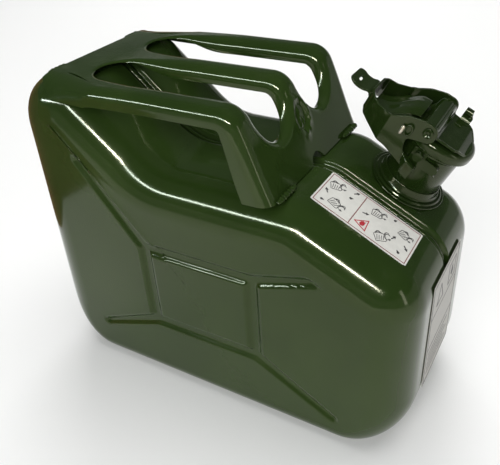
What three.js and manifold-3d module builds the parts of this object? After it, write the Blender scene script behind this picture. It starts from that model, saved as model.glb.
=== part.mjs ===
// A ten litre pressed steel fuel can with a cam lever closure, in millimetres.
// +X is the spout end, +Y the side that carries the neck, +Z up.
// The origin is the middle of the face that the can stands on.
import * as THREE from 'three';
import { mergeVertices } from 'three/addons/utils/BufferGeometryUtils.js';
import Module from 'manifold-3d';

const wasm = await Module();
wasm.setup();

// ---- driving dimensions -------------------------------------------------------------
const canLength = 345;
const canWidth = 165;
const wall = 1.0;                 // sheet of the two half shells
const rearDraw = 38;              // radius between a side panel and the rear of the rim
const frontDraw = 34;             // the same at the front, along the top and at the foot
const topDraw = 30;
const footDraw = 15;
const cornerEase = 1;             // how much wider the outline's corners are than those
const footEase = 18;
const humpEase = 4;
const crestEase = 15;
const humpTop = 270;              // top of the raised air space at the rear
const humpLevel = 19.5;            // level run of the hump in front of its rear corner
const troughRearX = -45;
const troughTop = 208.5;
const troughRadius = 52;
const crestX = 80;                // where the top turns down into the shoulder
const crestTop = 207;
const shoulderAngle = 27.5;       // degrees below level
const channelDepth = 4;           // seam channel round the rim
const channelHalf = 4.5;
const channelSlope = 2.2;
const seamGap = 0.3;
const weldHalf = 2.6;             // weld that stands in that channel
const weldCrownHalf = 1.2;
const weldHeight = 2.1;

const panelCentreZ = 106;         // pressed cross in each side panel
const frameHalfLength = 49.5;
const frameHalfHeight = 38;
const grooveWidth = 10.5;
const grooveDepth = 2.2;
const armEnds = [[-108, 212], [-112, 41], [122, 166.5], [117, 27]];
const armTipWidth = 5;

const handleSheet = 1.6;          // the three bar handle pressing
const handleLift = 0.35;          // clearance over the hump
const handleHalfWidth = 77;
const handleOverhang = 6.5;        // how far the handle reaches back over that corner
const handleRearRound = 20;       // corners of the plate at the rear
const handleBendX = 33;
const handleBendRadius = 24;
const handleFootX = 67;
const slotHalf = 21.5;
const midBarHalf = 11.8;
const slotSetback = 6;             // from the front of the hump to the rear of the slots
const slotLowZ = 240;
const flangeDepth = 13;
const flangeFoot = 25;
const footArchRadius = 8;

const neckX = 125;                // where the neck axis meets the shoulder
const neckY = 41;
const neckWall = 1.5;
const neckTop = 43;
const neckRoot = -4;
const lipWidth = 1.2;             // how far the rolled lip stands out
const lipHeight = 3;
const collarWidth = 9;
const fit = 0.3;                  // gap between touching pieces
const pinFit = 0.3;               // radial clearance of a pin in its hole

const pivotU = -9;                // lever pivot, in the frame of the neck
const pivotRise = 15.5;            // above the lip of the neck
const rivetRadius = 2.6;
const rivetHead = 4;
const hingeReach = 5.1;            // from the lid to the cap's hinge, on the handle side
const hingeDrop = 2;               // below it
const hingePinRadius = 1.8;
const hingeKnuckle = 4;
const hingeTongue = 7;            // half width of the cap's hinge tongue
const earThickness = 2.2;
const lidCover = 2.1;             // how far the lid stands out over the lip
const lidHeight = 9.8;             // above it
const lidRise = 0.6;              // from the lip up to the edge of the lid
const gasketHeight = 3.6;
const yokeSheet = 1.8;
const bridgeInset = 2.5;
const barrelRadius = 5.2;

const leverHalf = 28.2;           // outside of the lever's side plates
const leverSheet = 1.8;
const leverPlay = 0.5;            // between those plates and what turns between them
const leverTailReach = 28;         // from that hinge back to the lever's rear web
const leverTaperReach = 5;         // and to where its plates start to close in
const leverTailHalf = 14;
const tabHalf = 10.5;
const tabSheet = 1.8;
const lugU = -5;
const lugDrop = 3.6;               // below the lip
const lugRadius = 3.6;
const lugStand = 2.3;             // past the lever's plates
const lockU = -25;                // retaining pin through the near side plate
const lockRise = 7.5;              // above the lip
const lockRadius = 1.7;

const labelSheet = 0.4;
const shoulderLabel = { start: 2.5, end: 83, near: -49, far: -8.2 };
const frontLabel = { bottom: 44, over: 8.5, half: 36 };
const breatherRadius = 4.5;
const breatherWall = 0.8;

const halfLength = canLength / 2;
const halfWidth = canWidth / 2;
const rearCorner = rearDraw + cornerEase;
const frontCorner = frontDraw + cornerEase;
const humpRearX = -halfLength + rearCorner;
const humpFrontX = humpRearX + humpLevel;
const humpFrontRadius = topDraw + humpEase;
const handleRearX = humpRearX - handleOverhang;
const slotRearX = humpFrontX + slotSetback;
const crestRadius = topDraw + crestEase;
const leverInside = leverHalf - leverSheet;
const lidRadius = leverInside - leverPlay;
const lipRadius = lidRadius - lidCover;
const neckRadius = lipRadius - lipWidth;
const collarRadius = neckRadius + collarWidth;
const lidSkirt = neckTop + lidRise;
const lidShelf = neckTop + fit + gasketHeight + fit;
const lugReach = leverHalf + lugStand;
const lugW = neckTop - lugDrop;
const lockW = neckTop + lockRise;
const pivotW = neckTop + pivotRise;
const hingeW = neckTop - hingeDrop;
const hingeU = -lidRadius - hingeReach;
const lidTop = neckTop + lidHeight;
const leverTail = hingeU - leverTailReach;
const leverTaperU = hingeU - leverTaperReach;
const rad = THREE.MathUtils.degToRad;
const slope = rad(shoulderAngle);

// ---- solids and booleans ------------------------------------------------------------
function solid(geometry) {
  const bare = geometry.clone();
  bare.deleteAttribute('normal');
  bare.deleteAttribute('uv');
  const merged = mergeVertices(bare, 1e-4);
  return new wasm.Manifold(new wasm.Mesh({
    numProp: 3,
    vertProperties: new Float32Array(merged.attributes.position.array),
    triVerts: new Uint32Array(merged.index.array),
  }));
}

function geometryOf(manifold) {
  const mesh = manifold.getMesh();
  const geometry = new THREE.BufferGeometry();
  geometry.setAttribute('position', new THREE.BufferAttribute(mesh.vertProperties, 3));
  geometry.setIndex(new THREE.BufferAttribute(mesh.triVerts, 1));
  return geometry;
}

// A shape of x and z, carried along y from one place to another.
function sidePrism(shape, y0, y1, curveSegments = 12) {
  const geometry = new THREE.ExtrudeGeometry(shape, { depth: y1 - y0, bevelEnabled: false, curveSegments });
  return geometry.rotateX(Math.PI / 2).translate(0, y1, 0);
}

// A shape of x and y, carried up along z.
function plate(shape, z0, z1, curveSegments = 12) {
  const geometry = new THREE.ExtrudeGeometry(shape, { depth: z1 - z0, bevelEnabled: false, curveSegments });
  return geometry.translate(0, 0, z0);
}

// A bar of round section along y.
function crossBar(x, z, radius, y0, y1, segments = 20) {
  const geometry = new THREE.CylinderGeometry(radius, radius, y1 - y0, segments);
  return geometry.translate(x, (y0 + y1) / 2, z);
}

function box(x0, x1, y0, y1, z0, z1) {
  const geometry = new THREE.BoxGeometry(x1 - x0, y1 - y0, z1 - z0);
  return geometry.translate((x0 + x1) / 2, (y0 + y1) / 2, (z0 + z1) / 2);
}

// A profile of radius and height, turned about z.
function turned(points, segments = 40) {
  const profile = points.map(([r, z]) => new THREE.Vector2(r, z));
  return new THREE.LatheGeometry(profile, segments).rotateX(Math.PI / 2);
}

function polygon(points) {
  return new THREE.Shape(points.map(([x, y]) => new THREE.Vector2(x, y)));
}

// ---- outlines with rounded corners --------------------------------------------------
// Each corner is [x, z, radius, steps]. The result is a list of { x, z, nx, nz } with
// the normal that points out of a counterclockwise outline, so it can be inset.
function roundedOutline(corners, closed = true) {
  const result = [];
  const count = corners.length;
  corners.forEach(([x, z, radius = 0, steps = 6], i) => {
    const before = corners[(i + count - 1) % count];
    const after = corners[(i + 1) % count];
    const toBefore = new THREE.Vector2(before[0] - x, before[1] - z).normalize();
    const toAfter = new THREE.Vector2(after[0] - x, after[1] - z).normalize();
    const isEnd = !closed && (i === 0 || i === count - 1);
    if (radius === 0 || isEnd) {
      const along = i === 0 && !closed ? toAfter.clone() : toBefore.clone().negate();
      result.push({ x, z, nx: along.y, nz: -along.x });
      return;
    }
    const inDir = toBefore.clone().negate();
    const turn = Math.atan2(inDir.x * toAfter.y - inDir.y * toAfter.x, inDir.dot(toAfter));
    const reach = radius * Math.tan(Math.abs(turn) / 2);
    const side = Math.sign(turn);
    const startX = x + toBefore.x * reach;
    const startZ = z + toBefore.y * reach;
    const centreX = startX - inDir.y * radius * side;
    const centreZ = startZ + inDir.x * radius * side;
    for (let k = 0; k <= steps; k += 1) {
      const a = Math.atan2(inDir.y, inDir.x) + (turn * k) / steps;
      const nx = Math.sin(a);
      const nz = -Math.cos(a);
      result.push({ x: centreX + nx * radius * side, z: centreZ + nz * radius * side, nx, nz });
    }
  });
  return result;
}

const shoulderDrop = (halfLength - crestX) * Math.tan(slope);
const canOutline = roundedOutline([
  [-halfLength, 0, rearCorner + footEase, 7],
  [halfLength, 0, frontCorner + footEase, 7],
  [halfLength, crestTop - shoulderDrop, frontCorner, 6],
  [crestX, crestTop, crestRadius, 4],
  [troughRearX, troughTop, troughRadius, 5],
  [humpFrontX, humpTop, humpFrontRadius, 4],
  [-halfLength, humpTop, rearCorner, 7],
]);

// ---- half shells --------------------------------------------------------------------
const drawSteps = 5;

// The radius between rim and side panel, by the way that the rim faces there.
function edgeRadius({ nx, nz }) {
  const upright = nx < 0 ? rearDraw : frontDraw;
  const level = nz < 0 ? footDraw : topDraw;
  return nx * nx * upright + nz * nz * level;
}

// A point of the outline, sunk into it by depth.
function rimPoint(p, y, depth) {
  return new THREE.Vector3(p.x - p.nx * depth, y, p.z - p.nz * depth);
}

// Half of the can's form, on the side given by sign. inset shrinks it all round, and
// open carries it past the seam, for the form that hollows the shell.
function halfForm(sign, inset, open) {
  const seamY = open ? -1 : seamGap / 2;
  const grid = [[seamY, channelDepth], [channelHalf + inset, channelDepth], [channelHalf + channelSlope + inset, 0]]
    .map(([y, d]) => canOutline.map((p) => rimPoint(p, sign * y, d + inset)));
  for (let k = 0; k <= drawSteps; k += 1) {
    const a = (Math.PI / 2) * (k / drawSteps);
    grid.push(canOutline.map((p) => {
      const r = edgeRadius(p) - inset;
      return rimPoint(p, sign * (halfWidth - inset - r + r * Math.sin(a)), inset + r * (1 - Math.cos(a)));
    }));
  }
  return closedLoft(grid, sign > 0);
}

// Rings of points joined to each other, with flat ends. flip turns the faces round.
function closedLoft(rings, flip) {
  const n = rings[0].length;
  const points = rings.flat();
  const triangles = [];
  const add = (a, b, c) => triangles.push(...(flip ? [a, c, b] : [a, b, c]));
  for (let j = 0; j + 1 < rings.length; j += 1) {
    for (let i = 0; i < n; i += 1) {
      const k = (i + 1) % n;
      add(j * n + i, j * n + k, (j + 1) * n + k);
      add(j * n + i, (j + 1) * n + k, (j + 1) * n + i);
    }
  }
  const cap = (ring) => THREE.ShapeUtils.triangulateShape(ring.map((p) => new THREE.Vector2(p.x, p.z)), []);
  cap(rings[0]).forEach(([a, b, c]) => add(c, b, a));
  const last = (rings.length - 1) * n;
  cap(rings[rings.length - 1]).forEach(([a, b, c]) => add(last + a, last + b, last + c));
  const geometry = new THREE.BufferGeometry();
  geometry.setAttribute('position', new THREE.Float32BufferAttribute(points.flatMap((p) => [p.x, p.y, p.z]), 3));
  geometry.setIndex(triangles);
  return geometry;
}

// The pressed cross: a square ring with a groove from each corner, as one tool.
function crossTool(sign, grow) {
  const y0 = halfWidth - grooveDepth - grow;
  const y1 = halfWidth + 5;
  const half = grooveWidth / 2 + grow;
  const ring = polygon([[-1, -1], [1, -1], [1, 1], [-1, 1]].map(([i, j]) => [
    i * (frameHalfLength + half), panelCentreZ + j * (frameHalfHeight + half)]));
  ring.holes.push(polygon([[-1, -1], [-1, 1], [1, 1], [1, -1]].map(([i, j]) => [
    i * (frameHalfLength - half), panelCentreZ + j * (frameHalfHeight - half)])));
  const shapes = [ring];
  armEnds.forEach(([ex, ez]) => {
    const sx = Math.sign(ex) * frameHalfLength;
    const sz = panelCentreZ + Math.sign(ez - panelCentreZ) * frameHalfHeight;
    const along = new THREE.Vector2(ex - sx, ez - sz).normalize();
    const tip = armTipWidth / 2 + grow;
    const across = [-along.y, along.x];
    shapes.push(polygon([
      [sx + across[0] * half, sz + across[1] * half], [sx - across[0] * half, sz - across[1] * half],
      [ex - across[0] * tip, ez - across[1] * tip], [ex + across[0] * tip, ez + across[1] * tip]]));
  });
  const [a, b] = sign > 0 ? [y0, y1] : [-y1, -y0];
  return shapes.map((shape) => solid(sidePrism(shape, a, b))).reduce((sum, next) => sum.add(next));
}

function halfShell(sign) {
  const outer = solid(halfForm(sign, 0, false)).subtract(crossTool(sign, 0));
  const inner = solid(halfForm(sign, wall, true)).subtract(crossTool(sign, wall));
  return outer.subtract(inner);
}

// ---- frame of the neck --------------------------------------------------------------
// Everything of the closure is made with u forward down the shoulder, y across and
// w up along the neck, and stands in this group.
const closure = new THREE.Group();
closure.position.set(neckX, neckY, crestTop - (neckX - crestX) * Math.tan(slope));
closure.rotation.y = slope;
closure.updateMatrixWorld(true);

function shellFar() {
  const hole = new THREE.CylinderGeometry(neckRadius + fit, neckRadius + fit, 60, 40).rotateX(Math.PI / 2);
  hole.applyMatrix4(closure.matrixWorld);
  return geometryOf(halfShell(1).subtract(solid(hole)));
}

// The welded joint of the two halves, a ring that lies in the channel.
function seamWeld() {
  const low = channelDepth - fit;
  const rings = [[low, -weldHalf], [low - weldHeight, -weldCrownHalf], [low - weldHeight, weldCrownHalf], [low, weldHalf]]
    .map(([depth, y]) => canOutline.map((p) => rimPoint(p, y, depth)));
  const n = canOutline.length;
  const triangles = [];
  for (let j = 0; j < 4; j += 1) {
    const next = (j + 1) % 4;
    for (let i = 0; i < n; i += 1) {
      const k = (i + 1) % n;
      triangles.push(j * n + i, next * n + k, j * n + k, j * n + i, next * n + i, next * n + k);
    }
  }
  const geometry = new THREE.BufferGeometry();
  const flat = rings.flat().flatMap((p) => [p.x, p.y, p.z]);
  geometry.setAttribute('position', new THREE.Float32BufferAttribute(flat, 3));
  geometry.setIndex(triangles);
  return geometry;
}

// ---- handle -------------------------------------------------------------------------
const handleTop = humpTop + handleLift + handleSheet;
const handleFootZ = troughTop + handleLift;
const handlePath = roundedOutline([
  [handleRearX, handleTop],
  [handleBendX, handleTop, handleBendRadius, 6],
  [handleFootX, handleFootZ],
], false);

// The pressing's sheet, as a strip along its top.
function handleStrip() {
  const lower = handlePath.map((p) => [p.x + p.nx * handleSheet, p.z + p.nz * handleSheet]);
  return polygon([...lower, ...handlePath.map((p) => [p.x, p.z]).reverse()]);
}

function flangeShape() {
  const top = handleSheet * 0.5;
  const rearStart = humpFrontX + 14;
  const bend = handlePath[handlePath.length - 2];
  const last = handlePath[handlePath.length - 1];
  return polygon([
    [rearStart, handleTop - top], [rearStart + 12, handleTop - flangeDepth],
    [bend.x - flangeDepth * 1.15, handleTop - flangeDepth],
    [last.x - flangeFoot, handleFootZ], [last.x - top, handleFootZ], [bend.x - top, bend.z],
    [handleBendX - handleBendRadius * 0.6, handleTop - top]]);
}

// Plan of the pressing, with its rear corners rounded.
function handlePlan() {
  const plan = roundedOutline([
    [handleFootX + 10, -handleHalfWidth], [handleFootX + 10, handleHalfWidth],
    [handleRearX, handleHalfWidth, handleRearRound, 5], [handleRearX, -handleHalfWidth, handleRearRound, 5]]);
  return polygon(plan.map((p) => [p.x, p.z]));
}

function handle() {
  const body = solid(sidePrism(handleStrip(), -handleHalfWidth, handleHalfWidth))
    .intersect(solid(plate(handlePlan(), handleFootZ - 10, handleTop + 10)));
  const slotY = midBarHalf + slotHalf;
  let result = body;
  [-slotY, slotY].forEach((y) => {
    const plan = new THREE.Shape();
    plan.moveTo(handleBendX + 60, y - slotHalf);
    plan.lineTo(handleBendX + 60, y + slotHalf);
    plan.lineTo(slotRearX + slotHalf, y + slotHalf);
    plan.absarc(slotRearX + slotHalf, y, slotHalf, Math.PI / 2, Math.PI * 1.5, false);
    const lowZ = slotLowZ + slotHalf;
    result = result.subtract(solid(plate(plan, lowZ, handleTop + 20)));
    const end = new THREE.CylinderGeometry(slotHalf, slotHalf, 120, 28).rotateZ(Math.PI / 2);
    result = result.subtract(solid(end.translate(handleBendX + 30, y, lowZ)));
  });
  const arch = new THREE.CylinderGeometry(footArchRadius, footArchRadius, 60, 24).rotateZ(Math.PI / 2);
  result = result.subtract(solid(arch.translate(handleFootX, 0, handleFootZ)));
  const flange = flangeShape();
  const inner = slotY + slotHalf;
  [[-handleHalfWidth, 1], [-inner, -1], [-midBarHalf, 1], [midBarHalf, -1], [inner, 1], [handleHalfWidth, -1]]
    .forEach(([edge, way]) => {
      const [a, b] = way > 0 ? [edge, edge + handleSheet] : [edge - handleSheet, edge];
      const outside = Math.abs(edge) === handleHalfWidth;
      const cheek = solid(sidePrism(flange, a, b));
      result = result.add(outside ? cheek : cheek.intersect(solid(box(-200, 200, a - 1, b + 1, slotLowZ + 8, 400))));
    });
  return geometryOf(result);
}

// A weld bead: a rounded bar laid along y.
function weldBead(x, z, y0, y1) {
  const bead = new THREE.CapsuleGeometry(1.5, y1 - y0 - 3, 4, 10);
  return bead.translate(x, (y0 + y1) / 2, z);
}

// ---- neck ---------------------------------------------------------------------------
function neck() {
  const inside = neckRadius - neckWall;
  return turned([
    [inside, neckRoot], [neckRadius, neckRoot], [neckRadius, neckTop - lipHeight], [lipRadius, neckTop - lipHeight + 0.8],
    [lipRadius, neckTop - 0.7], [lipRadius - 1, neckTop], [inside + 0.6, neckTop], [inside, neckTop - 0.8],
    [inside, neckRoot]], 44);
}

function neckCollar() {
  const inner = neckRadius + fit;
  return turned([
    [inner, fit], [collarRadius, fit], [collarRadius, 1.6], [collarRadius - 2.5, 2.6],
    [neckRadius + 3.2, 4.2], [neckRadius + 1.6, 8], [inner, 8], [inner, fit]], 44);
}

// Lug and its plate on one side of the neck.
function neckLug(sign) {
  const base = neckRadius + fit;
  const shape = new THREE.Shape();
  const low = lugW - 9.4;
  const far = leverInside - 1.4;
  const near = far - 6;
  shape.moveTo(lugU - 5.5, low);
  shape.lineTo(13, low);
  shape.absarc(9, low + 4, 4, -Math.PI / 4, Math.PI / 2, false);
  shape.lineTo(lugU + 5.5, low + 8.3);
  shape.lineTo(lugU + 5.5, lugW + 4);
  shape.lineTo(lugU - 5.5, lugW + 4);
  const seat = new THREE.CylinderGeometry(base, base, 200, 64).rotateX(Math.PI / 2);
  const pad = solid(sidePrism(shape, sign > 0 ? near : -far, sign > 0 ? far : -near));
  const lipRoom = new THREE.CylinderGeometry(lipRadius + fit, lipRadius + fit, 20, 64).rotateX(Math.PI / 2);
  const lug = solid(crossBar(lugU, lugW, lugRadius, sign > 0 ? near + 3 : -lugReach, sign > 0 ? lugReach : -near - 3));
  return geometryOf(pad.add(lug).subtract(solid(seat))
    .subtract(solid(lipRoom.translate(0, 0, neckTop - lipHeight + 10 - fit))));
}

function hingeBracket() {
  const inner = hingeTongue + fit;
  const outer = inner + earThickness;
  const top = neckTop - lipHeight - 1;
  const ear = new THREE.Shape();
  const root = -neckRadius + 2.6;
  ear.moveTo(root, top);
  ear.lineTo(hingeU + hingeKnuckle + 1, top);
  ear.absarc(hingeU, hingeW, hingeKnuckle, 0, Math.PI, false);
  ear.lineTo(hingeU - hingeKnuckle + 1, hingeW - 6);
  ear.lineTo(root, top - 13);
  const seat = new THREE.CylinderGeometry(neckRadius + fit, neckRadius + fit, 200, 64).rotateX(Math.PI / 2);
  const pad = box(-neckRadius - 1.8, root + 1, -outer, outer, top - 13, top);
  return geometryOf([solid(sidePrism(ear, inner, outer)), solid(sidePrism(ear, -outer, -inner))]
    .reduce((sum, next) => sum.add(next), solid(pad))
    .subtract(solid(seat))
    .subtract(solid(crossBar(hingeU, hingeW, hingePinRadius + pinFit, -20, 20))));
}

function hingePin() {
  const reach = hingeTongue + earThickness + fit + 1.4;
  return crossBar(hingeU, hingeW, hingePinRadius, -reach, reach);
}

// Air tube: from inside the neck down and back into the air space.
function breatherTube() {
  const ring = new THREE.Shape().absarc(0, 0, breatherRadius, 0, Math.PI * 2);
  ring.holes.push(new THREE.Path().absarc(0, 0, breatherRadius - breatherWall, 0, Math.PI * 2, true));
  const side = -(neckRadius - neckWall - breatherRadius - 1);
  const route = new THREE.CatmullRomCurve3([[side, 0, neckTop - 6], [side, 0, 14], [side - 2, 0, -8],
    [side - 12, 0, -20], [side - 32, 0, -26], [side - 68, 0, -36]].map((p) => new THREE.Vector3(...p)));
  return new THREE.ExtrudeGeometry(ring, { extrudePath: route, steps: 24, curveSegments: 8 });
}

// ---- cap ----------------------------------------------------------------------------
function capLid() {
  const bore = lipRadius + 0.6;
  return turned([
    [0, lidShelf], [bore, lidShelf], [bore, lidSkirt], [lidRadius, lidSkirt], [lidRadius, lidTop - 5],
    [lidRadius - 1.6, lidTop - 2], [lidRadius - 5, lidTop - 0.5], [lidRadius - 9, lidTop], [0, lidTop]], 44);
}

function gasket() {
  const top = lidShelf - fit;
  const bottom = neckTop + fit;
  const inner = neckRadius - neckWall - 3;
  const outer = lipRadius + 0.2;
  return turned([[inner, bottom], [outer, bottom], [outer, top], [inner, top], [inner, bottom]], 44);
}

// A tab that stands up from the far front corner of the bridge and curls outwards.
function bridgeCurl(low, high, half) {
  const level = (low + high) / 2;
  const path = roundedOutline([[half - 4, level], [half, level, 1, 2], [half + 1.5, high + 5, 1, 2],
    [half + 6.5, high + 6, 2, 3], [half + 6, high + 12, 2, 3], [half + 1, high + 11.5]], false);
  const edge = (way) => path.map((p) => [p.x + p.nx * way * 0.7, p.z + p.nz * way * 0.7]);
  const shape = polygon([...edge(1), ...edge(-1).reverse()]);
  const strip = new THREE.ExtrudeGeometry(shape, { depth: 7, bevelEnabled: false });
  const turn = new THREE.Matrix4().makeBasis(
    new THREE.Vector3(0, 1, 0), new THREE.Vector3(0, 0, 1), new THREE.Vector3(1, 0, 0));
  return solid(strip.applyMatrix4(turn).translate(4, 0, 0));
}

// Barrel round the rivet, bridge plate over the lid and tongue back to the hinge.
function capYoke() {
  const low = lidTop + fit;
  const high = low + yokeSheet;
  const half = lidRadius - bridgeInset;
  const barrel = solid(crossBar(pivotU, pivotW, barrelRadius, -lidRadius, lidRadius, 28))
    .subtract(solid(box(-60, 60, -60, 60, 30, low)));
  const bridge = box(pivotU, 15, -half, half, low, high);
  const edge = lidRadius + fit;
  const tongue = polygon([
    [pivotU, low], [pivotU, high], [-edge + 1, high], [-edge - yokeSheet, high - 2],
    [hingeU - 1, hingeW + 3], [hingeU, hingeW], [-edge, hingeW], [-edge, low]]);
  const knuckle = crossBar(hingeU, hingeW, hingeKnuckle - 0.2, -hingeTongue, hingeTongue);
  const lidRoom = new THREE.CylinderGeometry(edge, edge, 20, 64).rotateX(Math.PI / 2).translate(0, 0, low - 10);
  return geometryOf(barrel.add(solid(bridge))
    .add(solid(sidePrism(tongue, -hingeTongue, hingeTongue)))
    .add(solid(knuckle))
    .add(bridgeCurl(low, high, half))
    .subtract(solid(crossBar(hingeU, hingeW, hingePinRadius + pinFit, -20, 20)))
    .subtract(solid(lidRoom))
    .subtract(solid(crossBar(pivotU, pivotW, rivetRadius + pinFit, -40, 40))));
}

// ---- lever --------------------------------------------------------------------------
// Side view of the lever's plates: front eye, mouth for the lug, hook and rear web.
function leverSide() {
  const shape = new THREE.Shape();
  const eye = 6.6;
  shape.moveTo(leverTail - 3, neckTop - 7);
  shape.lineTo(leverTail + 11, neckTop - 6.5);
  shape.lineTo(-32, neckTop - 12.5);
  shape.lineTo(-16, neckTop - 19.5);
  shape.lineTo(-5, neckTop - 23);
  shape.lineTo(-1.5, neckTop - 19);
  shape.lineTo(-1.5, neckTop - 11.5);
  shape.lineTo(-13, neckTop - 8.5);
  shape.quadraticCurveTo(-18, neckTop - 4, -17.5, neckTop + 1);
  shape.lineTo(pivotU + 1, pivotW - eye);
  shape.absarc(pivotU, pivotW, eye, -Math.PI / 2.2, Math.PI / 2.2, false);
  shape.lineTo(-24, neckTop + 19.5);
  shape.lineTo(leverTail + 21, neckTop + 12);
  shape.lineTo(leverTail + 9, neckTop + 10);
  shape.lineTo(leverTail - 3, neckTop + 8);
  return shape;
}

// Plan of the lever: two straight plates that close in to a narrow rear web.
function leverPlan() {
  const outline = (shrink) => {
    const half = leverHalf - shrink;
    const tail = leverTailHalf - shrink * 0.5;
    const back = leverTail + shrink;
    return [[20, -half], [20, half], [leverTaperU, half], [back + 5, tail + 1], [back, tail - 4],
      [back, -tail + 4], [back + 5, -tail - 1], [leverTaperU, -half]];
  };
  return [polygon(outline(0)), polygon(outline(leverSheet).map(([x, y]) => [x === 20 ? 30 : x, y]))];
}

function leverTab() {
  const top = roundedOutline([
    [leverTail + 0.9, neckTop - 3], [leverTail + 0.9, neckTop + 8.5, 3, 3],
    [leverTail - 10, neckTop + 5.5, 12, 3], [leverTail - 19.5, neckTop + 8.8]], false);
  const upper = top.map((p) => [p.x + p.nx * tabSheet * 0.5, p.z + p.nz * tabSheet * 0.5]);
  const lower = top.map((p) => [p.x - p.nx * tabSheet * 0.5, p.z - p.nz * tabSheet * 0.5]);
  return solid(sidePrism(polygon([...upper, ...lower.reverse()]), -tabHalf, tabHalf));
}

function lever() {
  const [outside, inside] = leverPlan();
  const wallRing = solid(plate(outside, 10, 80)).subtract(solid(plate(inside, 5, 85)));
  const sides = wallRing.intersect(solid(sidePrism(leverSide(), -40, 40)));
  const eyelet = new THREE.CylinderGeometry(1.6, 1.6, 30, 16).rotateX(Math.PI / 2).translate(leverTail - 14, 0, neckTop + 7);
  return geometryOf(sides.add(leverTab())
    .subtract(solid(eyelet))
    .subtract(solid(crossBar(pivotU, pivotW, rivetRadius + pinFit, -40, 40)))
    .subtract(solid(crossBar(lockU, lockW, lockRadius + pinFit, -40, 40))));
}

function pivotRivet() {
  const outside = leverHalf + fit;
  const shank = solid(crossBar(pivotU, pivotW, rivetRadius, -outside - 1, outside + 1, 24));
  const heads = [-outside - 1.2, outside].map((y) => solid(crossBar(pivotU, pivotW, rivetHead, y, y + 1.2, 24)));
  return geometryOf(shank.add(heads[0]).add(heads[1])
    .subtract(solid(crossBar(pivotU, pivotW, rivetRadius - 1, -60, 60, 24))));
}

// Spoon shaped leaf between the plates, low at the rear and high at the front.
function leverLeaf() {
  const path = roundedOutline([[leverTail + leverSheet + fit, neckTop + 1], [leverTail + 15, neckTop + 2.5, 20, 4],
    [-27, neckTop + 17.5, 16, 4], [-20, neckTop + 19]], false);
  const half = 0.7;
  const upper = path.map((p) => [p.x + p.nx * half, p.z + p.nz * half]);
  const lower = path.map((p) => [p.x - p.nx * half, p.z - p.nz * half]);
  const strip = solid(sidePrism(polygon([...upper, ...lower.reverse()]), -20, 20));
  const plan = polygon([[leverTail - 11, -5], [leverTail + 11, -6], [-34, -11], [-22, -16], [-16, -16], [-16, 16], [-22, 16],
    [-34, 11], [leverTail + 11, 6], [leverTail - 11, 5]]);
  return geometryOf(strip.intersect(solid(plate(plan, 20, 90))));
}

function lockingPin() {
  const outside = leverHalf + fit;
  const shank = solid(crossBar(lockU, lockW, lockRadius, -outside - 2, -leverInside + 1.2, 16));
  const eye = new THREE.Shape().absellipse(lockU, lockW, 2.6, 4.6, 0, Math.PI * 2);
  const head = solid(sidePrism(eye, -outside - 3.2, -outside));
  return geometryOf(shank.add(head));
}

// ---- labels -------------------------------------------------------------------------
// A film on the shoulder, in a frame turned with the shoulder.
function shoulderFilm() {
  const { start, end, near, far } = shoulderLabel;
  return box(start, end, near, far, fit, fit + labelSheet).rotateY(slope).translate(crestX, 0, crestTop);
}

// A film over the front face, which bridges the seam channel and reaches a little way
// over the start of the shoulder's rounding.
function frontFilm() {
  const { bottom, over, half } = frontLabel;
  const flatTop = Math.max(...canOutline.filter((p) => p.nx === 1).map((p) => p.z));
  return box(halfLength + fit, halfLength + fit + labelSheet, -half, half, bottom, flatTop + over);
}

// ---- assembly -----------------------------------------------------------------------
const paint = { color: 0x2f3d1d, roughness: 0.18, metalness: 0 };
const darkPaint = { color: 0x28331a, roughness: 0.25, metalness: 0 };
const zinc = { color: 0xb9a988, roughness: 0.35, metalness: 1 };
const rubber = { color: 0x1b1b1a, roughness: 0.7, metalness: 0 };
const film = { color: 0xd9d9d6, roughness: 0.35, metalness: 0 };

const group = new THREE.Group();
group.add(closure);

function place(name, geometry, finish, parent = group) {
  const mesh = new THREE.Mesh(geometry, new THREE.MeshStandardMaterial(finish));
  mesh.name = name;
  parent.add(mesh);
}

place('shell_near', geometryOf(halfShell(-1)), paint);
place('shell_far', shellFar(), paint);
place('seam_weld', seamWeld(), darkPaint);
place('handle_pressing', handle(), paint);
[['near', -1], ['far', 1]].forEach(([side, sign]) => {
  const [footY, rearY] = [handleHalfWidth - 20, handleHalfWidth - 30].map((y) => sign * y);
  const beadX = handleFootX + 2.2;
  const beadZ = troughTop + 2.2;
  place(`foot_weld_${side}`, weldBead(beadX, beadZ, footY - 14, footY + 14), darkPaint);
  place(`rear_weld_${side}`, weldBead(handleRearX - 2.2, humpTop + 1.4, rearY - 10, rearY + 10), darkPaint);
});
place('shoulder_label', shoulderFilm(), film);
place('front_label', frontFilm(), film);

place('neck', neck(), paint, closure);
place('neck_collar', neckCollar(), paint, closure);
place('neck_lug_near', neckLug(-1), paint, closure);
place('neck_lug_far', neckLug(1), paint, closure);
place('hinge_bracket', hingeBracket(), paint, closure);
place('hinge_pin', hingePin(), zinc, closure);
place('breather_tube', breatherTube(), darkPaint, closure);
place('cap_lid', capLid(), paint, closure);
place('cap_yoke', capYoke(), paint, closure);
place('cap_gasket', gasket(), rubber, closure);
place('lever', lever(), paint, closure);
place('pivot_rivet', pivotRivet(), paint, closure);
place('lever_leaf', leverLeaf(), paint, closure);
place('locking_pin', lockingPin(), zinc, closure);

export default group;
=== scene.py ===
import math

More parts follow.
